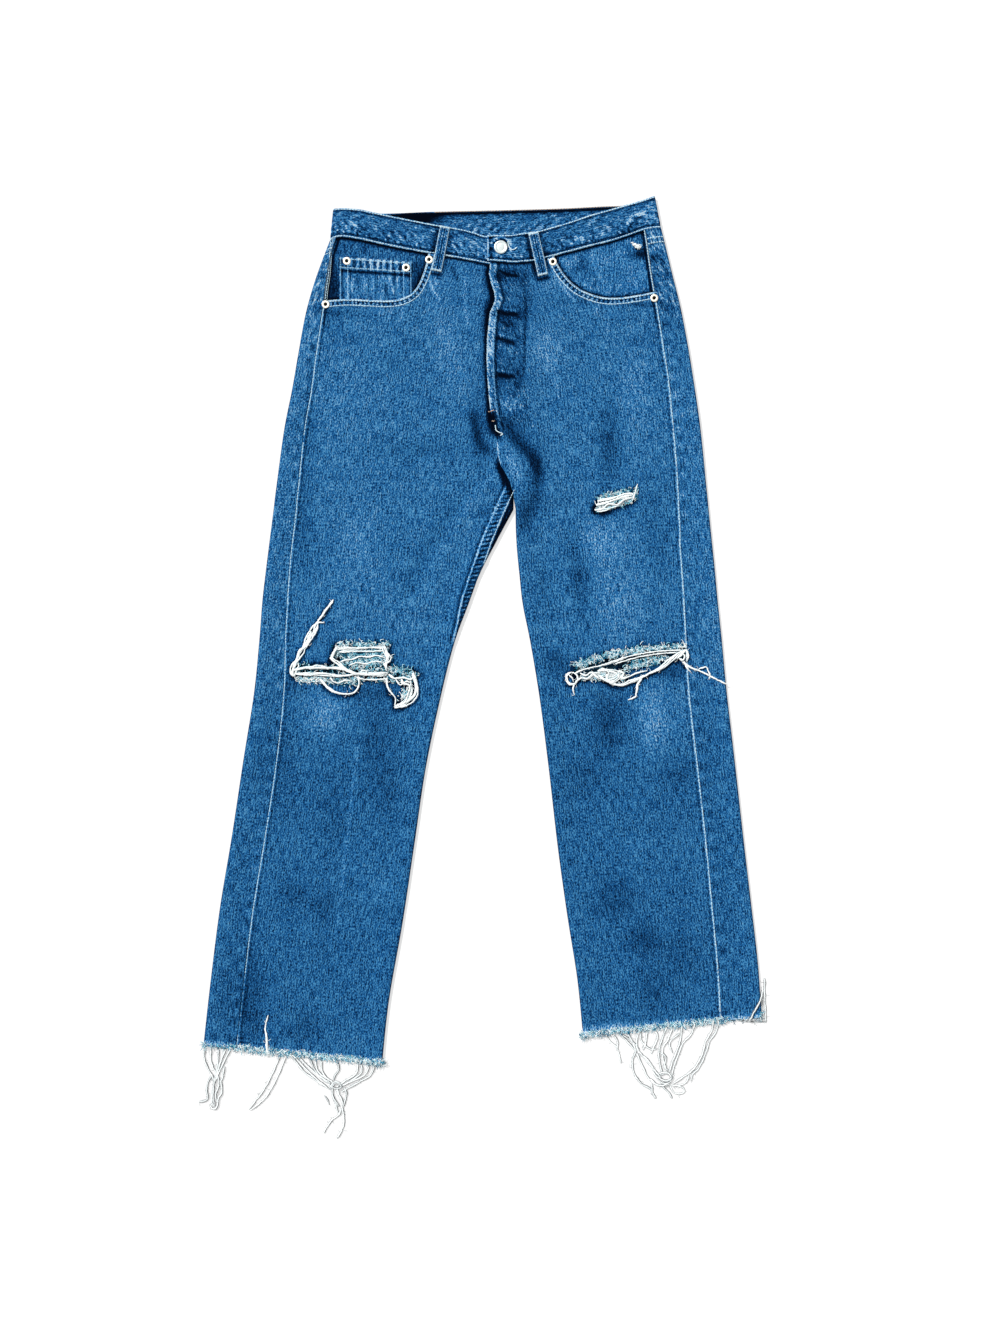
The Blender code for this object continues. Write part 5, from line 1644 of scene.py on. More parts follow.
def build_back_pockets(sizes):
    wall = sizes.denim_wall / MM
    for side, (middle, top_y, side_y, point_y, wide, low) in PATCH_POCKETS.items():
        columns, rows = 44, 48
        u, v = np.meshgrid(np.linspace(-1.0, 1.0, columns), np.linspace(0.0, 1.0, rows))
        bottom = point_y + (side_y - point_y) * np.abs(u)
        y = top_y + (bottom - top_y) * v
        half = (wide + (low - wide) * np.clip((top_y - y) / (top_y - side_y), 0.0, 1.0)) / 2.0
        x = middle + u * half
        edge = np.minimum(half * (1.0 - np.abs(u)), y - bottom)
        down = top_y - y
        z = 0.12 - 0.1 * line(edge, 5.0, 4.0) + 0.1 * np.abs(ripple(x, 23.0, 1))
        points = np.stack([x, y, np.maximum(z, 0.0)], axis=-1)
        wear = 0.1 + 1.8 * line(edge, 0.5, 0.9) + 1.0 * line(edge, 8.2, 0.8)
        wear += 0.9 * ripple(x + y, 6.5, 2) * line(edge, 4.5, 2.4)
        wear += 1.8 * line(down, 0.5, 0.9) + 1.1 * line(down, 13.0, 0.9)
        wear += 0.8 * ripple(x, 7.0, 4) * line(down, 7.0, 4.0)
        wear += patch_wear_and_shade(x, y, ((middle, top_y - 62.0, 46, 34, 0, 0.9),))
        panel = level_panel(points, 120.0, edge, down)
        panel = panel._replace(normals=-panel.normals)
        marble = 0.15 + 0.6 * line(edge, 3.0, 4.0)
        node = f"patch_pocket_{side}"
        thing = cloth_object(
            f"{node}_denim", points, panel.cloth, wear, marble, ("denim",), panel.normals
        )
        thicken(thing, wall)
        stand(thing, node)
        LAID.append(grid_tree(points))
        PANELS[node] = panel


# ---------------------------------------------------------------- belt loops

Loop = namedtuple("Loop", "node top low front")
LOOPS = (
    Loop("belt_loop_front_right", (-44.0, 529.5), (-54.5, 475.5), True),
    Loop("belt_loop_front_left", (61.5, 522.0), (73.3, 470.6), True),
    Loop("belt_loop_side_right", (-106.0, 544.5), (-106.0, 500.0), False),
    Loop("belt_loop_centre_back", (15.0, 546.0), (15.0, 500.0), False),
    Loop("belt_loop_side_left", (138.0, 551.0), (138.0, 506.0), False),
)
LOOP_OFFSETS = (
    -6.3, -6, -5.4, -4.7, -4, -3.4, -2.8, -2.1, -1.5, -0.8, 0, 0.8, 1.5, 2.1, 2.8, 3.4, 4, 4.7, 5.4, 6,
    6.3,
)
LOOP_RISE = (
    -1.2, -0.4, 0, 0.05, 0.1, 0, -0.1, 0, 0.1, 0.05, 0, 0.05, 0.1, 0, -0.1, 0, 0.1, 0.05, 0, -0.4, -1.2,
)


def build_belt_loops(sizes):
    """Belt loops of folded denim: two over the front of the waistband, three at its back."""
    for loop in LOOPS:
        step = 1.1
        path = route_points((loop.top, loop.low), step)
        count = len(path)
        run = step * np.arange(count)
        ends = np.minimum(run, run[::-1])
        across = beside_route(path, 1.0) - path
        if loop.front:
            level = np.array([
                max(top(*(point + way * d)) for d in (-6.0, -3.0, 0.0, 3.0, 6.0))
                for point, way in zip(path, across)
            ])
            high = np.array([level[max(i - 3, 0):i + 4].max() for i in range(count)])
            level = np.convolve(np.pad(high, 3, "edge"), np.ones(7) / 7.0, "valid")
            level = level + 1.5 - 0.7 * ease(ends / 3.0) + 0.25 * line(run, 18.0, 9.0)
        lines = []
        for offset, rise in zip(LOOP_OFFSETS, LOOP_RISE):
            edge = path + across * offset
            low = np.maximum(0.05 - 0.4 * rise - 0.05, 0.0) + 0.0 * run
            z = level + rise if loop.front else low
            lines.append(np.column_stack([edge, z]))
        points = np.stack(lines, axis=1)
        offset = np.broadcast_to(np.abs(np.array(LOOP_OFFSETS)), points.shape[:2])
        run = np.broadcast_to(run[:, None], offset.shape)
        ends = np.broadcast_to(ends[:, None], offset.shape)
        wear = -3.6 + 8.0 * line(offset, 5.9, 0.6)
        wear += (5.6 + 1.8 * rungs(run, 3.4)) * line(offset, 3.9, 0.8)
        wear += (5.2 + 1.8 * rungs(run + 1.5, 3.4)) * line(offset, 1.5, 0.8)
        wear += 7.0 * line(ends, 0.9, 1.5) - 1.4 * line(ends, 4.6, 1.3)
        cloth = np.stack([offset * np.sign(LOOP_OFFSETS)[None, :], run, 0.0 * run + 140.0], axis=-1)
        facing = straight_up(points) * (1.0 if loop.front else -1.0)
        thing = cloth_object(f"{loop.node}_denim", points, cloth, wear, 0.35, ("dark_denim",), facing)
        thicken(thing, 1.5)
        stand(thing, loop.node)
        LAID.append(grid_tree(points))
        PANELS[loop.node] = Panel(points, facing, cloth, offset, run)


# ---------------------------------------------------------------- topstitching


def field_line(panel, field, value, rows=None):
    """Points and normals where a field across a panel's lines first reaches a value."""
    found = []
    for i in range(*(rows or (0, len(panel.points)))):
        order = np.argsort(field[i])
        both = np.concatenate([panel.points[i, order], panel.normals[i, order]], axis=1)
        found.append([np.interp(value, field[i][order], both[:, k]) for k in range(6)])
    found = np.array(found)
    return found[:, :3], found[:, 3:]


def column_line(panel, field, value):
    """Points and normals where a field down each column reaches a value."""
    turned = panel._replace(
        points=panel.points.swapaxes(0, 1), normals=panel.normals.swapaxes(0, 1)
    )
    return field_line(turned, field.T, value)


def stitch_line(bundle, points, normals, sizes, share=1.0, dyed=0.0, gaps=-9.0):
    """A row of stitches along points on the cloth, each dipping in at its ends."""
    pitch, radius = sizes.stitch_pitch / MM * share, sizes.stitch_width / MM / 2.0 * share
    done = run_along(points)
    count = int(done[-1] / pitch)
    for number in range(count):
        if ripple(number * pitch, 41.0, 3) < gaps:
            continue
        at = (number + np.array((0.06, 0.24, 0.66, 0.84))) * pitch
        rise = radius * np.array((-0.6, 0.35, 0.35, -0.6))[:, None]
        place = at_places(at, done, points) + at_places(at, done, normals) * rise
        place[:, 2] = np.maximum(place[:, 2], radius * 0.5)
        bundle.tube(place, radius, 4, -dyed, 0.6)


def bar_tack(bundle, centre, tilt, long, wide, sizes):
    """Close zigzag stitches that lock a corner."""
    way = np.array((math.cos(math.radians(tilt)), math.sin(math.radians(tilt))))
    side = np.array((-way[1], way[0]))
    count = max(int(long / 0.8), 3)
    path = []
    for k in range(count + 1):
        point = np.array(centre) + way * (k / count - 0.5) * long + side * wide * (k % 2 - 0.5)
        path.append((point[0], point[1], top(*point) + 0.35))
    bundle.tube(path, sizes.stitch_width / MM * 0.55, 4, 0.0)


def inseam_stitches(bundle, sizes):
    """Both rows of the right leg's felled inseam, down to where they turn under the leg."""
    for inset, low, dyed in ((0.2, 98.0, 0.0), (10.7, 34.0, 0.4)):
        y = np.arange(214.0, low, -1.6)
        x = np.interp(y, *zip(*INSEAM_ROW)) - inset / 0.88
        z = np.array([top(*place) for place in zip(x, y)])
        points = np.stack([x, y, z], axis=1)[z > 2.0]
        stitch_line(bundle, points, straight_up(points), sizes, 0.9, dyed)


# The right outseam strays outward over the yoke under the waistband
STRAYED_SEAM = ((-181, 515), (-182.6, 496), (-184.2, 472), (-186.6, 456), (-188.6, 438))
# Levels where the stitches of the outseam start, turn fainter and end
SEAM_STITCHES = {
    "right": (486, 436, -370),
    "left": (600, 448, -416),
}


def build_topstitching(sizes):
    bundle, tacks = Bundle(), Bundle()
    for side in SIDES:
        front = PANELS[f"front_{side}"]
        seam = front.points[:, 0, 1]
        start, turn, stop = (int(np.argmax(seam < level)) for level in SEAM_STITCHES[side])
        if side == "left":
            stitch_line(bundle, *field_line(front, front.seam, 1.4, (start, turn)), sizes)
        share = 1.1 if side == "right" else 1.25
        row = field_line(front, front.seam, 1.0, (turn, stop))
        stitch_line(bundle, *row, sizes, share, 0.12, -0.6)
        if side == "right":
            inseam_stitches(bundle, sizes)
            for shift in (0.0, 2.0):
                path = route_points([(x + shift, y) for x, y in STRAYED_SEAM], 1.6)
                points = np.array([(x, y, top(x, y)) for x, y in path])
                stitch_line(bundle, points, straight_up(points), sizes, 1.0 - 0.15 * shift)
        for name in (f"yoke_{side}", f"back_{side}"):
            back = PANELS[name]
            y = back.points[:, -1, 1]
            if name.startswith("yoke"):
                from_low = back.points[..., 1] - back.points[-1:, :, 1]
                for inset in (1.6, 7.6):
                    stitch_line(bundle, *column_line(back, from_low, inset), sizes)
            last = int(np.argmax(y < 206.0)) or len(y)
            if side == "left":
                for inset in (1.8, 8.0):
                    stitch_line(bundle, *field_line(back, back.end, inset, (0, last)), sizes)
        hem = PANELS[f"pocket_hem_{side}"]
        for inset in (1.7, 7.2):
            stitch_line(bundle, *field_line(hem, hem.seam, inset), sizes)
        patch = PANELS[f"patch_pocket_{side}"]
        stitch_line(bundle, *column_line(patch, patch.end, 12.0), sizes)
        for inset in (1.7, 8.0):
            stitch_line(bundle, *patch_outline(side, inset), sizes)
    left = PANELS["front_left"]
    rows = [int(np.argmax(left.points[:, -1, 1] < level)) for level in (428.0, 312.0)]
    stitch_line(bundle, *field_line(left, left.end, 8.0, rows), sizes, 0.65, 0.4)
    band = PANELS["waistband"]
    for field, inset in ((band.seam, 1.5), (band.end, 1.3)):
        stitch_line(bundle, *column_line(band, field, inset), sizes)
    coin = PANELS["coin_pocket"]
    width = coin.points[:, -1:, 0] - coin.points[..., 0]
    for field, inset in ((coin.seam, 1.4), (coin.seam, 10.0), (width, 1.4), (width, 10.0)):
        stitch_line(bundle, *field_line(coin, field, inset), sizes, 0.8, 0.3)
    for inset in (2.2, 12.2):
        stitch_line(bundle, *column_line(coin, coin.end, inset), sizes, 0.9, 0.15)
    for loop in LOOPS:
        panel = PANELS[loop.node]
        signed = panel.cloth[..., 0]
        for inset in (-5.3, 5.3):
            stitch_line(bundle, *field_line(panel, signed, inset), sizes, 0.65)
        if loop.front:
            way = np.array(loop.low) - np.array(loop.top)
            tilt = math.degrees(math.atan2(way[1], way[0])) + 90.0
            ahead = way / np.linalg.norm(way)
            for end, inset in ((loop.low, -1.4), (loop.top, 1.6)):
                bar_tack(bundle, np.array(end) + ahead * inset, tilt, 10.5, 1.8, sizes)
    for route in (((31.0, 511.0), (32.0, 505.5), (35.0, 501.4), (39.0, 501.6), (42.0, 504.0)),
                  ((16.0, 291.0), (17.0, 285.0), (21.0, 282.4), (25.0, 281.0), (22.0, 278.6))):
        path = route_points(route, 1.2)
        bundle.tube([(px, py, top(px, py) + 0.7) for px, py in path], 0.6, 5, 0.0)
    back = np.argsort(band.points[-1, :, 0] + 1000.0 * (band.normals[-1, :, 2] > -0.5))
    back = back[:int((band.normals[-1, :, 2] <= -0.5).sum())]
    edge = band.points[-1, back] + np.array((0.0, -1.1, sizes.band_wall / MM + 0.2))
    edge = edge[(edge[:, 0] > -60.0) & (edge[:, 0] < 204.0)]
    up = np.broadcast_to((0.0, 0.0, 1.0), edge.shape)
    stitch_line(tacks, edge, up, sizes)
    for place, tilt, long in (((11.0, 308.2), 12.0, 7.0), ((13.5, 296.0), 0.0, 3.0)):
        bar_tack(tacks, place, tilt, long, 0.8, sizes)
    bundle.finish("topstitching", "thread")
    tacks.finish("fly_bar_tacks", "tan")


def patch_outline(side, inset):
    """A row round the sides and point of a patch pocket, on its outside underneath."""
    middle, top_y, side_y, point_y, wide, low = PATCH_POCKETS[side]
    corners = np.array((
        (middle - wide / 2.0 + inset, top_y), (middle - low / 2.0 + inset, side_y + 0.25 * inset),
        (middle, point_y + 1.04 * inset), (middle + low / 2.0 - inset, side_y + 0.25 * inset),
        (middle + wide / 2.0 - inset, top_y),
    ))
    path = np.concatenate([
        np.linspace(a, b, 30, endpoint=False) for a, b in zip(corners, corners[1:])
    ])
    points = np.column_stack([path, np.full(len(path), 0.1)])
    return points, -straight_up(points)


# ---------------------------------------------------------------- buttons and rivets

WAIST_BUTTON = (22.5, 504.0)
WAIST_BUTTON_SEAT = 10.1
WAIST_BUTTON_PROFILE = (
    (0, -2.6), (2.6, -2.6), (2.6, 0), (7, 0), (7.8, 0.45), (8.1, 1.1), (7.95, 1.75), (7.5, 2.1),
    (6.9, 2.3), (6.3, 2.3), (5.7, 2), (5.2, 1.88), (4.3, 1.95), (3.2, 2.05), (1.6, 2.1), (0, 2.1),
)
RIVET_PROFILE = (
    (0, 0), (4.5, 0), (4.7, 0.35), (4.6, 0.7), (4.2, 0.9), (3.5, 1), (2.7, 0.98), (2.2, 0.8), (1.9, 0.45),
    (1.2, 0.4), (0.9, 0.6), (0.5, 0.75), (0, 0.8),
)
RIVETS = {
    "rivet_coin_outer": (-162.0, 488.0), "rivet_coin_inner": (-91.0, 480.0),
    "rivet_right_mouth": (-63.4, 489.5), "rivet_right_side": (-187.5, 436.0),
    "rivet_left_mouth": (85.0, 487.0), "rivet_left_side": (206.5, 443.5),
}


def build_hardware(sizes):
    button = turned_object(
        "waist_button_nickel", WAIST_BUTTON_PROFILE, WAIST_BUTTON, WAIST_BUTTON_SEAT, 64, ("nickel",)
    )
    stand(button, "waist_button")
    parts = [0] * 7 + [1] * 5
    for name, (x, y) in RIVETS.items():
        seat = max(top(x + 3.3 * i, y + 3.3 * j) for i in (-1, 0, 1) for j in (-1, 0, 1))
        rivet = turned_object(
            f"{name}_copper", RIVET_PROFILE, (x, y), seat - 0.1, 40, ("copper", "oxide"), parts
        )
        stand(rivet, name)


# ---------------------------------------------------------------- rips

Yarn = namedtuple("Yarn", "width strands lift route wear", defaults=(1.0,))
KNEE_YARNS = {
    "right": (
        Yarn(3.2, 2, 0.8, ((-178.5, 82), (-189, 67), (-196, 57), (-200, 52))),
        Yarn(3.6, 2, 1.2, ((-184, 74), (-190, 65), (-197, 57))),
        Yarn(3, 2, 2, ((-205, 44), (-208, 36), (-208, 30), (-213, 22))),
        Yarn(1.6, 1, 1, ((-189, 54), (-194, 55), (-200, 52), (-203, 47))),
        Yarn(7.4, 4, 1.2, ((-198, 54), (-202, 46), (-206.4, 37.6), (-211, 29), (-215.7, 21.6))),
        Yarn(6.4, 4, 1.2, ((-214, 24), (-219, 15), (-222.4, 8.3), (-226, 1))),
        Yarn(9, 5, 1, ((-222.5, 9), (-225.5, 2), (-226.4, -5), (-225, -10))),
        Yarn(4.2, 2, 2.6, ((-226, -2.5), (-214, -0.8), (-201, 0.4), (-177, 0.3), (-165, -2.4),
            (-153, -6.4), (-143, -7.4), (-128, -6.6), (-113, -6.4))),
        Yarn(4.4, 3, 2, ((-225, -6.8), (-206, -8), (-187.7, -7.4), (-165, -9), (-147.7, -7.7),
            (-132, -7.4), (-114, -8.2))),
        Yarn(1.5, 1, 3.4, ((-206, -0.5), (-203.7, 1.3), (-195.7, 3.4), (-182.4, -1))),
        Yarn(4.8, 3, 3.2, ((-172, 26), (-174.4, 24.3), (-179.7, 16.3), (-181, 11), (-171.7, 5.2),
            (-161, -2.4), (-147.7, -9))),
        Yarn(3.4, 3, 2.2, ((-177, 22.5), (-164, 24), (-147, 23.6), (-131, 24.5), (-115, 24))),
        Yarn(3, 2, 1.2, ((-171, 19.5), (-150, 20.2), (-131, 20), (-118, 21)), 0.95),
        Yarn(4.6, 4, 3, ((-118, 27), (-116, 19), (-113.6, 12), (-115, 4), (-114.4, -3.4))),
        Yarn(1.6, 1, 3.4, ((-117, 21), (-109, 13), (-112, 7), (-118, 4), (-111, -1))),
        Yarn(1.5, 1, 1.6, ((-171, 7), (-164, 9.5), (-155, 10.6), (-146, 14), (-136, 13), (-126, 15),
            (-116, 12))),
        Yarn(1.4, 1, 1.2, ((-160, 3), (-150, 6.4), (-139, 5), (-128, 8), (-117, 6)), 0.9),
        Yarn(1.5, 1, 1.4, ((-152, -10.5), (-142, -13.4), (-128, -14), (-113, -12.6))),
        Yarn(1.4, 1, 3.4, ((-147, -7), (-143, -3), (-138, -4.6), (-141, -8.6), (-147, -6))),
        Yarn(3.2, 2, 1.4, ((-194, -13), (-189, -19), (-185, -23.7), (-177, -28.6), (-169, -31),
            (-160, -31.4), (-153, -29), (-149, -24), (-147.4, -17), (-149, -10))),
        Yarn(2.6, 2, 1.4, ((-114.4, -12), (-114, -20), (-111.7, -26.4), (-106, -33), (-103.8, -38),
            (-105, -48))),
        Yarn(3.6, 2, 2, ((-112, -7.6), (-105, -12.6), (-94.4, -11.4), (-86, -13.4), (-80, -9))),
        Yarn(4, 3, 1, ((-86, -14), (-84, -24), (-86, -33), (-93, -40), (-101, -45))),
        Yarn(6.4, 4, 1.8, ((-82.5, -6), (-81, -14), (-79.7, -23.7), (-80.4, -31), (-83.7, -37),
            (-89, -42), (-95, -45.4), (-105, -47.7))),
        Yarn(3, 2, 2.6, ((-97, -12), (-94.4, -18.4), (-88, -20), (-86.4, -24.5), (-89, -32),
            (-91.7, -39.7), (-97, -44))),
        Yarn(1.5, 1, 3.2, ((-104, -13), (-98, -20), (-90, -16), (-84, -20))),
        Yarn(1.5, 1, 1.4, ((-182, -10), (-179, -16), (-172, -18), (-164, -14.6), (-156, -16)), 0.9),
    ),
    "left": (
        Yarn(3, 2, 1.2, ((108, -5), (102.4, -8), (101.6, -14), (105, -19), (111.6, -19), (115, -14),
            (113.6, -8), (108, -5))),
        Yarn(1.5, 1, 1.6, ((104, -8), (108, -12), (110, -17)), 0.9),
        Yarn(1.9, 1, 0.6, ((111.6, -18), (109.2, -25.2), (111, -32.4))),
        Yarn(2.4, 2, 2, ((111, -7), (117.6, -3.6), (129.6, 0), (141, 2.6), (153.6, 6), (172.8, 12))),
        Yarn(1.4, 1, 2.4, ((150, 5.6), (172.8, 13), (194.4, 17.8), (218.4, 20.6), (242.4, 21.4))),
        Yarn(1.3, 1, 1.6, ((160, 5), (176, 10), (194.4, 14.4), (218.4, 17.6), (236, 18.6))),
        Yarn(3.4, 2, 1.2, ((112, -17), (119, -12), (127, -13), (134, -7), (142, -6))),
        Yarn(2, 1, 1.6, ((118, -6), (125, -9), (131, -5), (137, -10), (143, -14))),
        Yarn(5, 4, 1.4, ((139, -4), (146, -2), (155, -3), (163, -6), (158, -10), (148, -9))),
        Yarn(5, 4, 2.2, ((140, -8), (147, -13), (155, -15), (163, -12), (166, -6))),
        Yarn(3.6, 3, 2.8, ((144, 0), (152, -5), (150, -12), (156, -18), (161, -14))),
        Yarn(3, 2, 1.8, ((162, -3), (170, -6), (167, -12), (176, -11))),
        Yarn(4.4, 3, 1.8, ((150, -14), (158.4, -19.2), (168, -21), (177.6, -16.8), (187, -12.4),
            (196.8, -8.4), (205, -4))),
        Yarn(5.2, 3, 2.2, ((200, -7), (206, -3.6), (213.6, 0), (221, 5.4), (228, 10.8), (237.6, 18),
            (244.8, 19.2))),
        Yarn(1.6, 1, 1.4, ((166, -14), (176, -10.6), (186, -6), (198, -3.4))),
        Yarn(4.4, 3, 2.6, ((232, 11), (238, 15), (244, 21), (246, 15), (245, 8))),
        Yarn(1.6, 1, 3.4, ((236, 13), (240, 9), (243, 14), (239, 19))),
        Yarn(3.2, 2, 1.2, ((237.6, 12), (243, 6), (249.6, 1.2), (261.6, -3.6), (276, -10.8))),
        Yarn(1.8, 1, 0.8, ((272, -9), (283, -14.4), (293, -19.4))),
        Yarn(1.6, 1, 1.2, ((260, -1.6), (268.8, 1.2), (271.6, -4), (273.6, -8.4), (272.4, -13.2))),
        Yarn(1.8, 1, 0.8, ((243.6, 5), (246, 0), (250.8, -4.8))),
        Yarn(2.4, 1, 0.8, ((192.6, -9), (190, -15), (187.2, -19.2), (186, -26.4), (184.6, -32))),
        Yarn(1.5, 1, 1.2, ((188, -16), (185.6, -22), (187, -28))),
        Yarn(1.8, 1, 0.6, ((185, -31), (183.6, -35), (175.2, -38.4))),
    ),
}
THIGH_YARNS = (
    Yarn(3, 2, 0.9, ((136, 189.5), (145, 192), (152, 197), (163, 196), (172, 202), (181, 204))),
    Yarn(4.4, 3, 0.6, ((137, 195.5), (150, 199), (164, 203), (178, 208))),
    Yarn(4.2, 3, 0.4, ((139, 200), (156, 204), (168, 207.4), (182, 209))),
    Yarn(2.4, 3, 0.2, ((181, 201), (183, 208), (185, 215), (186.5, 221)), 0.9),
    Yarn(1.6, 1, 0.2, ((144, 190.5), (158, 193), (170, 198)), 0.75),
    Yarn(1.5, 1, 0.4, ((138, 188), (146, 188.5), (155, 191.5))),
)
LINT = (185.5, 506.0)
# Frayed edges: spots from and to, how many fibres, their heading, length and wear
Fray = namedtuple("Fray", "start end count heading length wear spread")
FRAYS = {
    "right": (
        Fray((-224, 2), (-160, 1), 220, -80, 6, 0.35, 3),
        Fray((-224, -8), (-160, -10), 260, 90, 5, 0.6, 3),
        Fray((-222, -13), (-188, -15), 170, -90, 6, 0.75, 2.6),
        Fray((-190, -14), (-150, -18), 160, -60, 6, 0.5, 4),
        Fray((-176, 27), (-112, 28), 300, 80, 6, 0.55, 3.5),
        Fray((-176, 22), (-112, 22), 200, -85, 7, 0.4, 2.5),
        Fray((-172, 14), (-116, 13), 420, 40, 9, 0.42, 7),
        Fray((-170, 6), (-118, 6), 320, 140, 8, 0.5, 4), Fray((-158, -1), (-84, -4), 240, 90, 6, 0.55, 3),
        Fray((-158, -12), (-84, -13), 260, -80, 6, 0.6, 3),
        Fray((-112, -2), (-78, -8), 150, 20, 6, 0.6, 4), Fray((-101, -40), (-86, -24), 90, 60, 6, 0.9, 4),
    ),
    "left": (
        Fray((112, 3), (154, 14.6), 330, 95, 6.4, 0.62, 4.2),
        Fray((150, 14.6), (194, 22.6), 360, 95, 6.4, 0.62, 4.4),
        Fray((190, 22.4), (244, 26), 330, 95, 5.4, 0.62, 3),
        Fray((118, -10), (140, -12), 120, -70, 5, 0.7, 3),
        Fray((138, -8), (170, -12), 240, 30, 6, 0.9, 5),
        Fray((169, -2), (222, 11.6), 330, 60, 6, 0.6, 3.2),
        Fray((176, 8), (214, 14), 90, -80, 4, 0.45, 1.2), Fray((232, 12), (246, 20), 70, 60, 5, 0.8, 3),
    ),
    "thigh": (
        Fray((139, 203), (178, 213), 240, 95, 5, 0.42, 2.6),
        Fray((137, 190), (179, 201), 110, -85, 4.5, 0.8, 2.6),
        Fray((139, 194), (180, 204), 230, 70, 5, 1, 4), Fray((182, 203), (186, 216), 60, 85, 6, 0.7, 2),
    ),
}


def frayed(bundle, rng, fray, radius=0.62):
    """Curly fibres in a band along a frayed edge."""
    start, end = np.array(fray.start, float), np.array(fray.end, float)
    for _ in range(int(0.5 * fray.count)):
        x, y = start + (end - start) * rng.uniform() + rng.normal(0.0, 0.5, 2) * fray.spread
        heading = math.radians(fray.heading) + rng.normal(0.0, 0.7)
        size = fray.length * rng.uniform(0.7, 1.3)
        wear = fray.wear + rng.choice((-0.4, 0.0, 0.3)) + rng.normal(0.0, 0.08)
        fibre(bundle, rng, (x, y, top(x, y) + 0.1), heading, size, 0.8, radius, wear)


def build_rips(sizes):
    """Yarns that still bridge the knees and fray round every rip."""
    parts = (
        ("knee_threads_right", KNEE_YARNS["right"], FRAYS["right"], 31),
        ("knee_threads_left", KNEE_YARNS["left"], FRAYS["left"], 32),
        ("thigh_threads_left", THIGH_YARNS, FRAYS["thigh"], 33),
    )
    for node, yarns, frays, seed in parts:
        rng = np.random.default_rng(seed)
        bundle = Bundle()
        for fray in frays:
            frayed(bundle, rng, fray)
        for item in yarns:
            yarn(bundle, rng, item)
        bundle.finish(f"{node}_yarn", "yarn", node=node)
    bundle, rng = Bundle(), np.random.default_rng(34)
    x, y = LINT
    for _ in range(56):
        along = rng.uniform(-3.2, 3.4)
        spot = (x + along + rng.normal(0.0, 0.8), y - 0.6 * along + rng.normal(0.0, 0.8))
        fibre(bundle, rng, (*spot, top(*spot) + rng.uniform(1.5, 3.6)), rng.uniform(0.0, 6.3),
              rng.uniform(1.5, 3.5), 0.8, 1.1, 1.7)
    bundle.finish("lint_tuft", "yarn")


# ---------------------------------------------------------------- cut hems

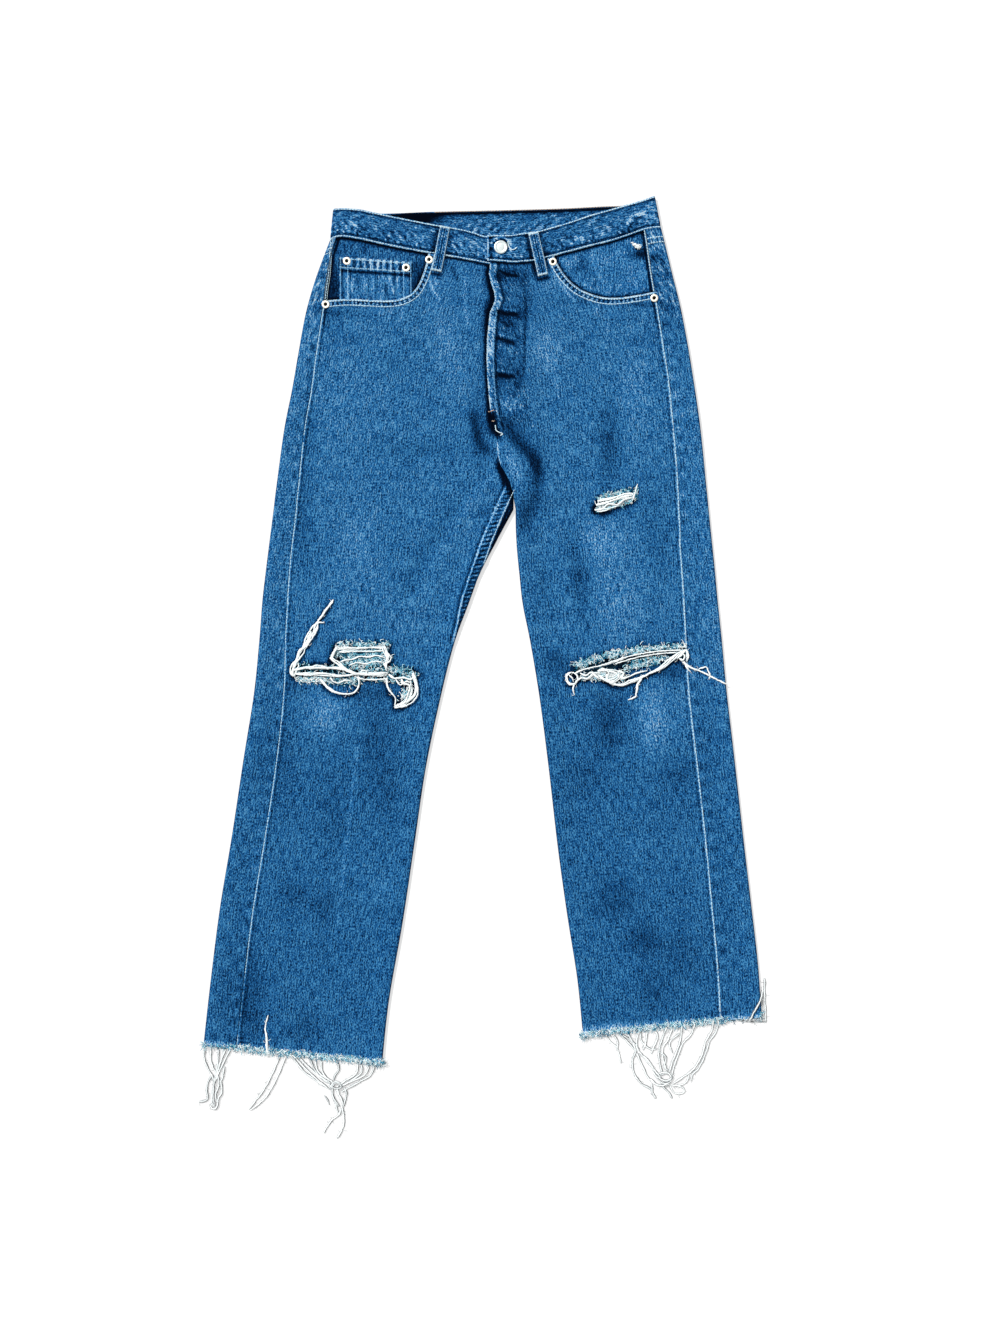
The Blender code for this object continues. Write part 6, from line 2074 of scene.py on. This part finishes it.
HEM_YARNS = {
    "hem_fringe_right_outer": (
        Yarn(4.4, 3, 0, ((-334.3, -457), (-333.5, -471), (-329.5, -482), (-324, -491), (-322, -499))),
        Yarn(3.2, 3, 0.2, ((-326, -457), (-326.3, -470), (-324, -479), (-320, -486))),
        Yarn(4.8, 3, 0, ((-317, -458), (-317.5, -472), (-319, -482), (-321, -492))),
        Yarn(4.6, 3, 0.2, ((-302, -457), (-308.6, -470), (-313.4, -480), (-318, -490), (-321, -499))),
        Yarn(4.4, 3, 0.6, ((-308, -458), (-313, -470), (-317, -482), (-320, -494))),
        Yarn(3.6, 3, 0.4, ((-310, -479), (-312, -493), (-314, -497), (-312.6, -509), (-316.7, -517),
            (-318, -525), (-321, -530), (-326, -528), (-324, -521))),
        Yarn(3.4, 3, 0.2, ((-324, -488), (-329.5, -498), (-331, -509), (-329.5, -517), (-333, -520),
            (-341, -521.5))),
        Yarn(5, 4, 0.8, ((-321, -492), (-323, -506), (-324, -517), (-322, -527))),
        Yarn(3.4, 3, 1.2, ((-318, -488), (-316, -500), (-320, -512), (-319, -522))),
    ),
    "hem_fringe_right_middle": (
        Yarn(4.2, 3, 0, ((-242, -464), (-249, -481), (-255.6, -495), (-265, -511), (-273, -521),
            (-280.5, -531))),
        Yarn(4.2, 3, 0, ((-235.5, -465), (-242.7, -484), (-250.8, -501), (-260, -516), (-270, -525.5),
            (-279, -531.5))),
    ),
    "hem_fringe_right_inner": (
        Yarn(3.8, 3, 0, ((-230.7, -464), (-215.4, -484), (-205.8, -491.6), (-190, -503))),
        Yarn(3.8, 3, 0.2, ((-228, -464), (-213.8, -480), (-199, -494), (-183, -507))),
        Yarn(3.8, 3, 0.2, ((-221, -466), (-210.6, -478), (-197.7, -489), (-182, -499))),
        Yarn(3.2, 3, 0.4, ((-207.4, -469), (-201, -483), (-193, -493), (-181.7, -500))),
        Yarn(3.2, 3, 0.4, ((-200, -470), (-198.5, -482), (-192, -490), (-180, -497))),
        Yarn(3.8, 3, 0.4, ((-193.7, -470), (-192, -485), (-186.5, -493), (-178.5, -498))),
        Yarn(3.6, 3, 0.6, ((-174.4, -472), (-172, -482), (-177, -490), (-178.5, -496))),
        Yarn(3.6, 3, 0.4, ((-149.5, -474), (-151, -487), (-165.6, -497), (-174, -503))),
        Yarn(4, 3, 0.2, ((-128.6, -476), (-133.5, -489), (-143, -495), (-157.6, -503), (-169, -509.5))),
        Yarn(4.4, 3, 0.6, ((-135, -476), (-141, -489), (-157, -497), (-172, -503.5))),
        Yarn(3.4, 3, 0.6, ((-146, -475), (-144, -484), (-150, -491), (-164, -500))),
        Yarn(5.4, 4, 1, ((-178, -499), (-180, -511), (-177, -520.5), (-172, -527))),
        Yarn(4.6, 4, 1.2, ((-174, -502), (-172, -512), (-168.8, -518), (-167, -528))),
        Yarn(4, 3, 0.4, ((-166, -504), (-163, -511), (-164.8, -520.5), (-168, -529))),
        Yarn(5, 4, 1.8, ((-185, -500), (-177, -505), (-169, -503), (-176, -498), (-183, -506))),
        Yarn(1.8, 2, 0, ((-189.7, -514), (-186, -519), (-183.3, -525.4)), 0.9),
        Yarn(3.6, 3, 0.2, ((-176, -520), (-175, -529), (-172, -537))),
        Yarn(2.8, 3, 0, ((-170, -530), (-172, -537), (-180, -543), (-186.5, -552), (-190.5, -559))),
        Yarn(2.8, 3, 0, ((-168.8, -526), (-166.4, -538), (-166.4, -548), (-169.6, -557.5),
            (-175, -565.5))),
    ),
    "hem_fringe_left_main": (
        Yarn(2, 2, 0, ((147, -440), (155.8, -450.7), (163, -458), (166.7, -475))),
        Yarn(2.4, 2, 0.2, ((157, -440), (163, -449), (162, -460))),
        Yarn(3.6, 3, 0, ((163, -438), (176, -450.7), (185, -461))),
        Yarn(3.6, 3, 0.2, ((173.5, -437), (180.5, -449), (185.6, -461))),
        Yarn(4, 3, 0.4, ((168, -441), (178, -447), (189, -458))),
        Yarn(4.8, 3, 0, ((190.7, -435), (192, -449), (202, -458), (210, -458))),
        Yarn(5.2, 3, 0.3, ((199, -434), (197, -449), (193.6, -459))),
        Yarn(5, 3, 0.5, ((207, -434), (211, -443.5), (206.7, -455), (203, -464))),
        Yarn(4.6, 3, 0.6, ((187, -440), (186, -450), (188, -461), (198, -470), (206, -480))),
        Yarn(3.8, 3, 0, ((185.6, -459), (180.5, -474), (183.4, -488.5), (192, -500), (202, -506),
            (208, -517.5))),
        Yarn(3.6, 3, 0.2, ((186, -463), (192, -477), (198, -490), (203, -496))),
        Yarn(4.2, 3, 0.4, ((188, -460), (198, -472.5), (208, -484), (215.4, -493))),
        Yarn(4, 3, 0.2, ((222, -431), (216.8, -445), (212.5, -461), (214, -477), (217, -490))),
        Yarn(4, 3, 0.4, ((229, -431), (224, -446), (217, -458), (218.3, -474), (223, -486))),
        Yarn(4.2, 3, 0.2, ((240, -430), (238.7, -446), (234, -461), (228.5, -474), (225, -487))),
        Yarn(4.4, 3, 0.4, ((255.5, -427), (251.7, -440), (241.6, -451), (235.7, -465), (231, -478),
            (228, -490))),
        Yarn(2.2, 2, 1.2, ((238, -439), (231, -444), (225, -452), (229, -463))),
        Yarn(2.6, 2, 1.2, ((214, -462), (221, -468), (219, -480), (226, -484))),
        Yarn(6, 5, 1.4, ((205, -484), (212, -493), (221, -497), (228, -492), (221, -486), (212, -489))),
        Yarn(5.4, 4, 0.6, ((203, -494), (211, -501), (220, -502), (227, -498))),
        Yarn(2.8, 3, 0, ((204, -500), (205, -510), (209, -517.5))),
        Yarn(2.8, 3, 0, ((214, -500), (220, -506), (225, -511), (228.5, -517.5))),
        Yarn(4, 3, 0, ((277.5, -423), (276.5, -435), (269, -449), (264.8, -464), (257.6, -478),
            (250, -486), (240, -493), (229, -500))),
        Yarn(4, 3, 0.2, ((284, -423), (282, -436), (273.5, -449), (268, -465), (260.5, -481),
            (253, -488.5), (251.5, -496))),
        Yarn(2, 2, 0.6, ((248.8, -489), (244.5, -498.7), (234, -502), (227, -501.6))),
        Yarn(2, 2, 0.4, ((233, -502), (241.6, -504.5), (243, -510), (237, -512), (230, -510),
            (226, -502))),
    ),
    "hem_fringe_left_corner": (
        Yarn(3.2, 3, 0.6, ((320, -424), (327, -411), (334, -398), (338, -384))),
        Yarn(3.4, 3, 0.2, ((337.5, -383), (336.5, -400), (336.5, -424))),
        Yarn(2.6, 2, 0, ((339.5, -373), (340, -398), (341, -425))),
        Yarn(1.8, 2, 0, ((308, -424), (322, -425.5), (334, -425.5), (342, -426)), 0.9),
    ),
}
HEM_THREAD = Yarn(2.8, 3, 0.1, ((-256.7, -417), (-260.4, -432), (-258.8, -442), (-258, -456),
    (-256.4, -468)))


def hem_edge(side):
    """Outside of a leg's cut edge: first its front, then its back, outer end first."""
    front = PANELS[f"front_{side}"].points[-1]
    back = PANELS[f"back_{side}"].points[-1]
    return [points[np.argsort(np.abs(points[:, 0]))[::-1]] for points in (front, back)]


def hem_fuzz(bundle, rng, points, sizes, spacing, inside, wear):
    """The short fringe of weft ends along a raw edge."""
    done = run_along(points)
    for at in np.arange(0.4, done[-1], spacing):
        x, y, z = (np.interp(at + rng.normal(0.0, 0.3), done, points[:, k]) for k in range(3))
        z = max(z + inside + rng.uniform(-0.4, 0.3), 0.3)
        size = sizes.fray_length / MM * rng.uniform(0.45, 1.1)
        heading = -math.pi / 2.0 + rng.normal(0.0, 0.5) + 0.2 * math.sin(at / 9.0)
        fibre(bundle, rng, (x, y + rng.uniform(0.0, 6.0), z), heading, size, 0.3, 0.5,
              wear + rng.choice((-0.4, 0.0, 0.3)) + rng.normal(0.0, 0.08))


def build_hems(sizes):
    """Raw cut hems: a dense short fringe, and long matted threads that hang in bunches."""
    for side, seed in (("right", 41), ("left", 42)):
        rng = np.random.default_rng(seed)
        bundle = Bundle()
        front, back = hem_edge(side)
        hem_fuzz(bundle, rng, front, sizes, 0.3, 0.2, 0.64)
        hem_fuzz(bundle, rng, front, sizes, 0.6, -0.9, 0.6)
        hem_fuzz(bundle, rng, back, sizes, 0.6, 0.4, 0.5)
        if side == "right":
            yarn(bundle, rng, HEM_THREAD)
        bundle.finish(f"hem_fray_{side}", "yarn")
    for number, (node, yarns) in enumerate(HEM_YARNS.items()):
        rng = np.random.default_rng(50 + number)
        bundle = Bundle()
        for item in yarns:
            # Fewer strands, and lower wear so that more of each strand's sides take the painted shade
            # colour.
            thinned_and_shaded = item._replace(strands=max(item.strands - 2, 1), wear=item.wear - 0.8)
            yarn(bundle, rng, thinned_and_shaded)
        bundle.finish(f"{node}_yarn", "weft_yarn", node=node)


# ---------------------------------------------------------------- floor, light and camera

VIEW_CENTRE = (0.0216, 0.0036, 0.006)
VIEW_HEIGHT = 1.596
LENS = 50.0
SENSOR = 36.0


def seen_directly(tree):
    """One for rays that reach the camera straight, or by way of a mirror or glass."""
    rays = add_node(tree, "ShaderNodeLightPath").outputs
    either = maths(tree, "MAXIMUM", rays["Is Camera Ray"], rays["Is Glossy Ray"])
    return maths(tree, "MAXIMUM", either, rays["Is Transmission Ray"])


def build_stage():
    scene = bpy.context.scene
    scene.view_settings.view_transform = "Standard"
    mesh = bpy.data.meshes.new("studio_floor")
    reach = 6.0
    corners = [(x * reach, y * reach, 0.0) for x, y in ((-1, -1), (1, -1), (1, 1), (-1, 1))]
    mesh.from_pydata(corners, [], [(0, 1, 2, 3)])
    floor = bpy.data.objects.new("studio_floor", mesh)
    floor.location.z = -0.0004
    scene.collection.objects.link(floor)
    material = bpy.data.materials.new("white card floor")
    material.use_nodes = True
    tree = material.node_tree
    tree.nodes.clear()
    card = add_node(tree, "ShaderNodeBsdfDiffuse", None, {"Color": (0.42, 0.42, 0.42, 1.0)})
    strength = maths(tree, "MULTIPLY", seen_directly(tree), 0.6)
    glow = add_node(tree, "ShaderNodeEmission", None, {"Strength": strength})
    both = add_node(tree, "ShaderNodeAddShader", None, {0: card.outputs[0], 1: glow.outputs[0]})
    add_node(tree, "ShaderNodeOutputMaterial", None, {"Surface": both.outputs[0]})
    mesh.materials.append(material)

    world = bpy.data.worlds.new("plain studio")
    scene.world = world
    world.use_nodes = True
    tree = world.node_tree
    tree.nodes.clear()
    strength = add_node(tree, "ShaderNodeMapRange", None, {
        "Value": seen_directly(tree), "To Min": 0.56, "To Max": 1.0,
    })
    sky = add_node(tree, "ShaderNodeBackground", None, {"Strength": strength.outputs[0]})
    add_node(tree, "ShaderNodeOutputWorld", None, {"Surface": sky.outputs[0]})

    lamp = bpy.data.lights.new("window light", "SUN")
    lamp.energy = 3.2
    lamp.angle = math.radians(3.5)
    sun = bpy.data.objects.new("window light", lamp)
    sun.rotation_mode = "QUATERNION"
    sun.rotation_quaternion = Vector((0.62, -0.6, -1.0)).to_track_quat("-Z", "Y")
    scene.collection.objects.link(sun)

    lens = bpy.data.cameras.new("camera")
    lens.lens, lens.sensor_width = LENS, SENSOR
    camera = bpy.data.objects.new("camera", lens)
    x, y, z = VIEW_CENTRE
    camera.location = (x, y, z + LENS / SENSOR * VIEW_HEIGHT)
    lens.clip_start, lens.clip_end = 0.1, 20.0
    scene.collection.objects.link(camera)
    scene.camera = camera


# ---------------------------------------------------------------- operators and panel


class OBJECT_OT_jeans_panels(bpy.types.Operator):
    """Lay the fronts, the backs and the yokes"""
    bl_idname = "jeans.panels"
    bl_label = "Panels"

    def execute(self, context):
        build_panels(context.scene.jeans_sizes)
        return {"FINISHED"}


class OBJECT_OT_jeans_waistband(bpy.types.Operator):
    """Join the waistband round the waist"""
    bl_idname = "jeans.waistband"
    bl_label = "Waistband"

    def execute(self, context):
        build_waistband(context.scene.jeans_sizes)
        return {"FINISHED"}


class OBJECT_OT_jeans_front_pockets(bpy.types.Operator):
    """Add the facings, the mouth hems and the coin pocket"""
    bl_idname = "jeans.front_pockets"
    bl_label = "Front pockets"

    def execute(self, context):
        build_front_pockets(context.scene.jeans_sizes)
        return {"FINISHED"}


class OBJECT_OT_jeans_fly(bpy.types.Operator):
    """Add the button side of the fly"""
    bl_idname = "jeans.fly"
    bl_label = "Fly"

    def execute(self, context):
        build_fly(context.scene.jeans_sizes)
        return {"FINISHED"}


class OBJECT_OT_jeans_back_pockets(bpy.types.Operator):
    """Add the patch pockets underneath"""
    bl_idname = "jeans.back_pockets"
    bl_label = "Back pockets"

    def execute(self, context):
        build_back_pockets(context.scene.jeans_sizes)
        return {"FINISHED"}


class OBJECT_OT_jeans_belt_loops(bpy.types.Operator):
    """Add the belt loops"""
    bl_idname = "jeans.belt_loops"
    bl_label = "Belt loops"

    def execute(self, context):
        build_belt_loops(context.scene.jeans_sizes)
        return {"FINISHED"}


class OBJECT_OT_jeans_topstitching(bpy.types.Operator):
    """Sew the topstitching and the bar tacks"""
    bl_idname = "jeans.topstitching"
    bl_label = "Topstitching"

    def execute(self, context):
        build_topstitching(context.scene.jeans_sizes)
        return {"FINISHED"}


class OBJECT_OT_jeans_hardware(bpy.types.Operator):
    """Add the waist button and the rivets"""
    bl_idname = "jeans.hardware"
    bl_label = "Button and rivets"

    def execute(self, context):
        build_hardware(context.scene.jeans_sizes)
        return {"FINISHED"}


class OBJECT_OT_jeans_rips(bpy.types.Operator):
    """Fray the rips and bridge the knees with yarns"""
    bl_idname = "jeans.rips"
    bl_label = "Rips"

    def execute(self, context):
        build_rips(context.scene.jeans_sizes)
        return {"FINISHED"}


class OBJECT_OT_jeans_hems(bpy.types.Operator):
    """Fray the cut hems"""
    bl_idname = "jeans.hems"
    bl_label = "Hems"

    def execute(self, context):
        build_hems(context.scene.jeans_sizes)
        return {"FINISHED"}


class OBJECT_OT_jeans_stage(bpy.types.Operator):
    """Set the floor, the light and the camera"""
    bl_idname = "jeans.stage"
    bl_label = "Stage"

    def execute(self, context):
        build_stage()
        return {"FINISHED"}


STEPS = (
    "panels", "waistband", "front_pockets", "fly", "back_pockets", "belt_loops", "topstitching",
    "hardware", "rips", "hems", "stage",
)


class VIEW3D_PT_jeans(bpy.types.Panel):
    bl_label = "Ripped jeans"
    bl_space_type = "VIEW_3D"
    bl_region_type = "UI"
    bl_category = "Jeans"

    def draw(self, context):
        column = self.layout.column(align=True)
        for step in STEPS:
            column.operator(f"jeans.{step}")
        for group in (context.scene.jeans_sizes, context.scene.jeans_colours):
            column = self.layout.column(align=True)
            for key in group.bl_rna.properties.keys():
                if key not in ("name", "rna_type"):
                    column.prop(group, key)


CLASSES = (
    JeansSizes, JeansColours, OBJECT_OT_jeans_panels, OBJECT_OT_jeans_waistband,
    OBJECT_OT_jeans_front_pockets, OBJECT_OT_jeans_fly, OBJECT_OT_jeans_back_pockets,
    OBJECT_OT_jeans_belt_loops, OBJECT_OT_jeans_topstitching, OBJECT_OT_jeans_hardware,
    OBJECT_OT_jeans_rips, OBJECT_OT_jeans_hems, OBJECT_OT_jeans_stage, VIEW3D_PT_jeans,
)


def register():
    for item in CLASSES:
        bpy.utils.register_class(item)
    bpy.types.Scene.jeans_sizes = bpy.props.PointerProperty(type=JeansSizes)
    bpy.types.Scene.jeans_colours = bpy.props.PointerProperty(type=JeansColours)


def unregister():
    del bpy.types.Scene.jeans_colours
    del bpy.types.Scene.jeans_sizes
    for item in reversed(CLASSES):
        bpy.utils.unregister_class(item)


def main():
    register()
    for step in STEPS:
        getattr(bpy.ops.jeans, step)()


if __name__ == "__main__":
    main()
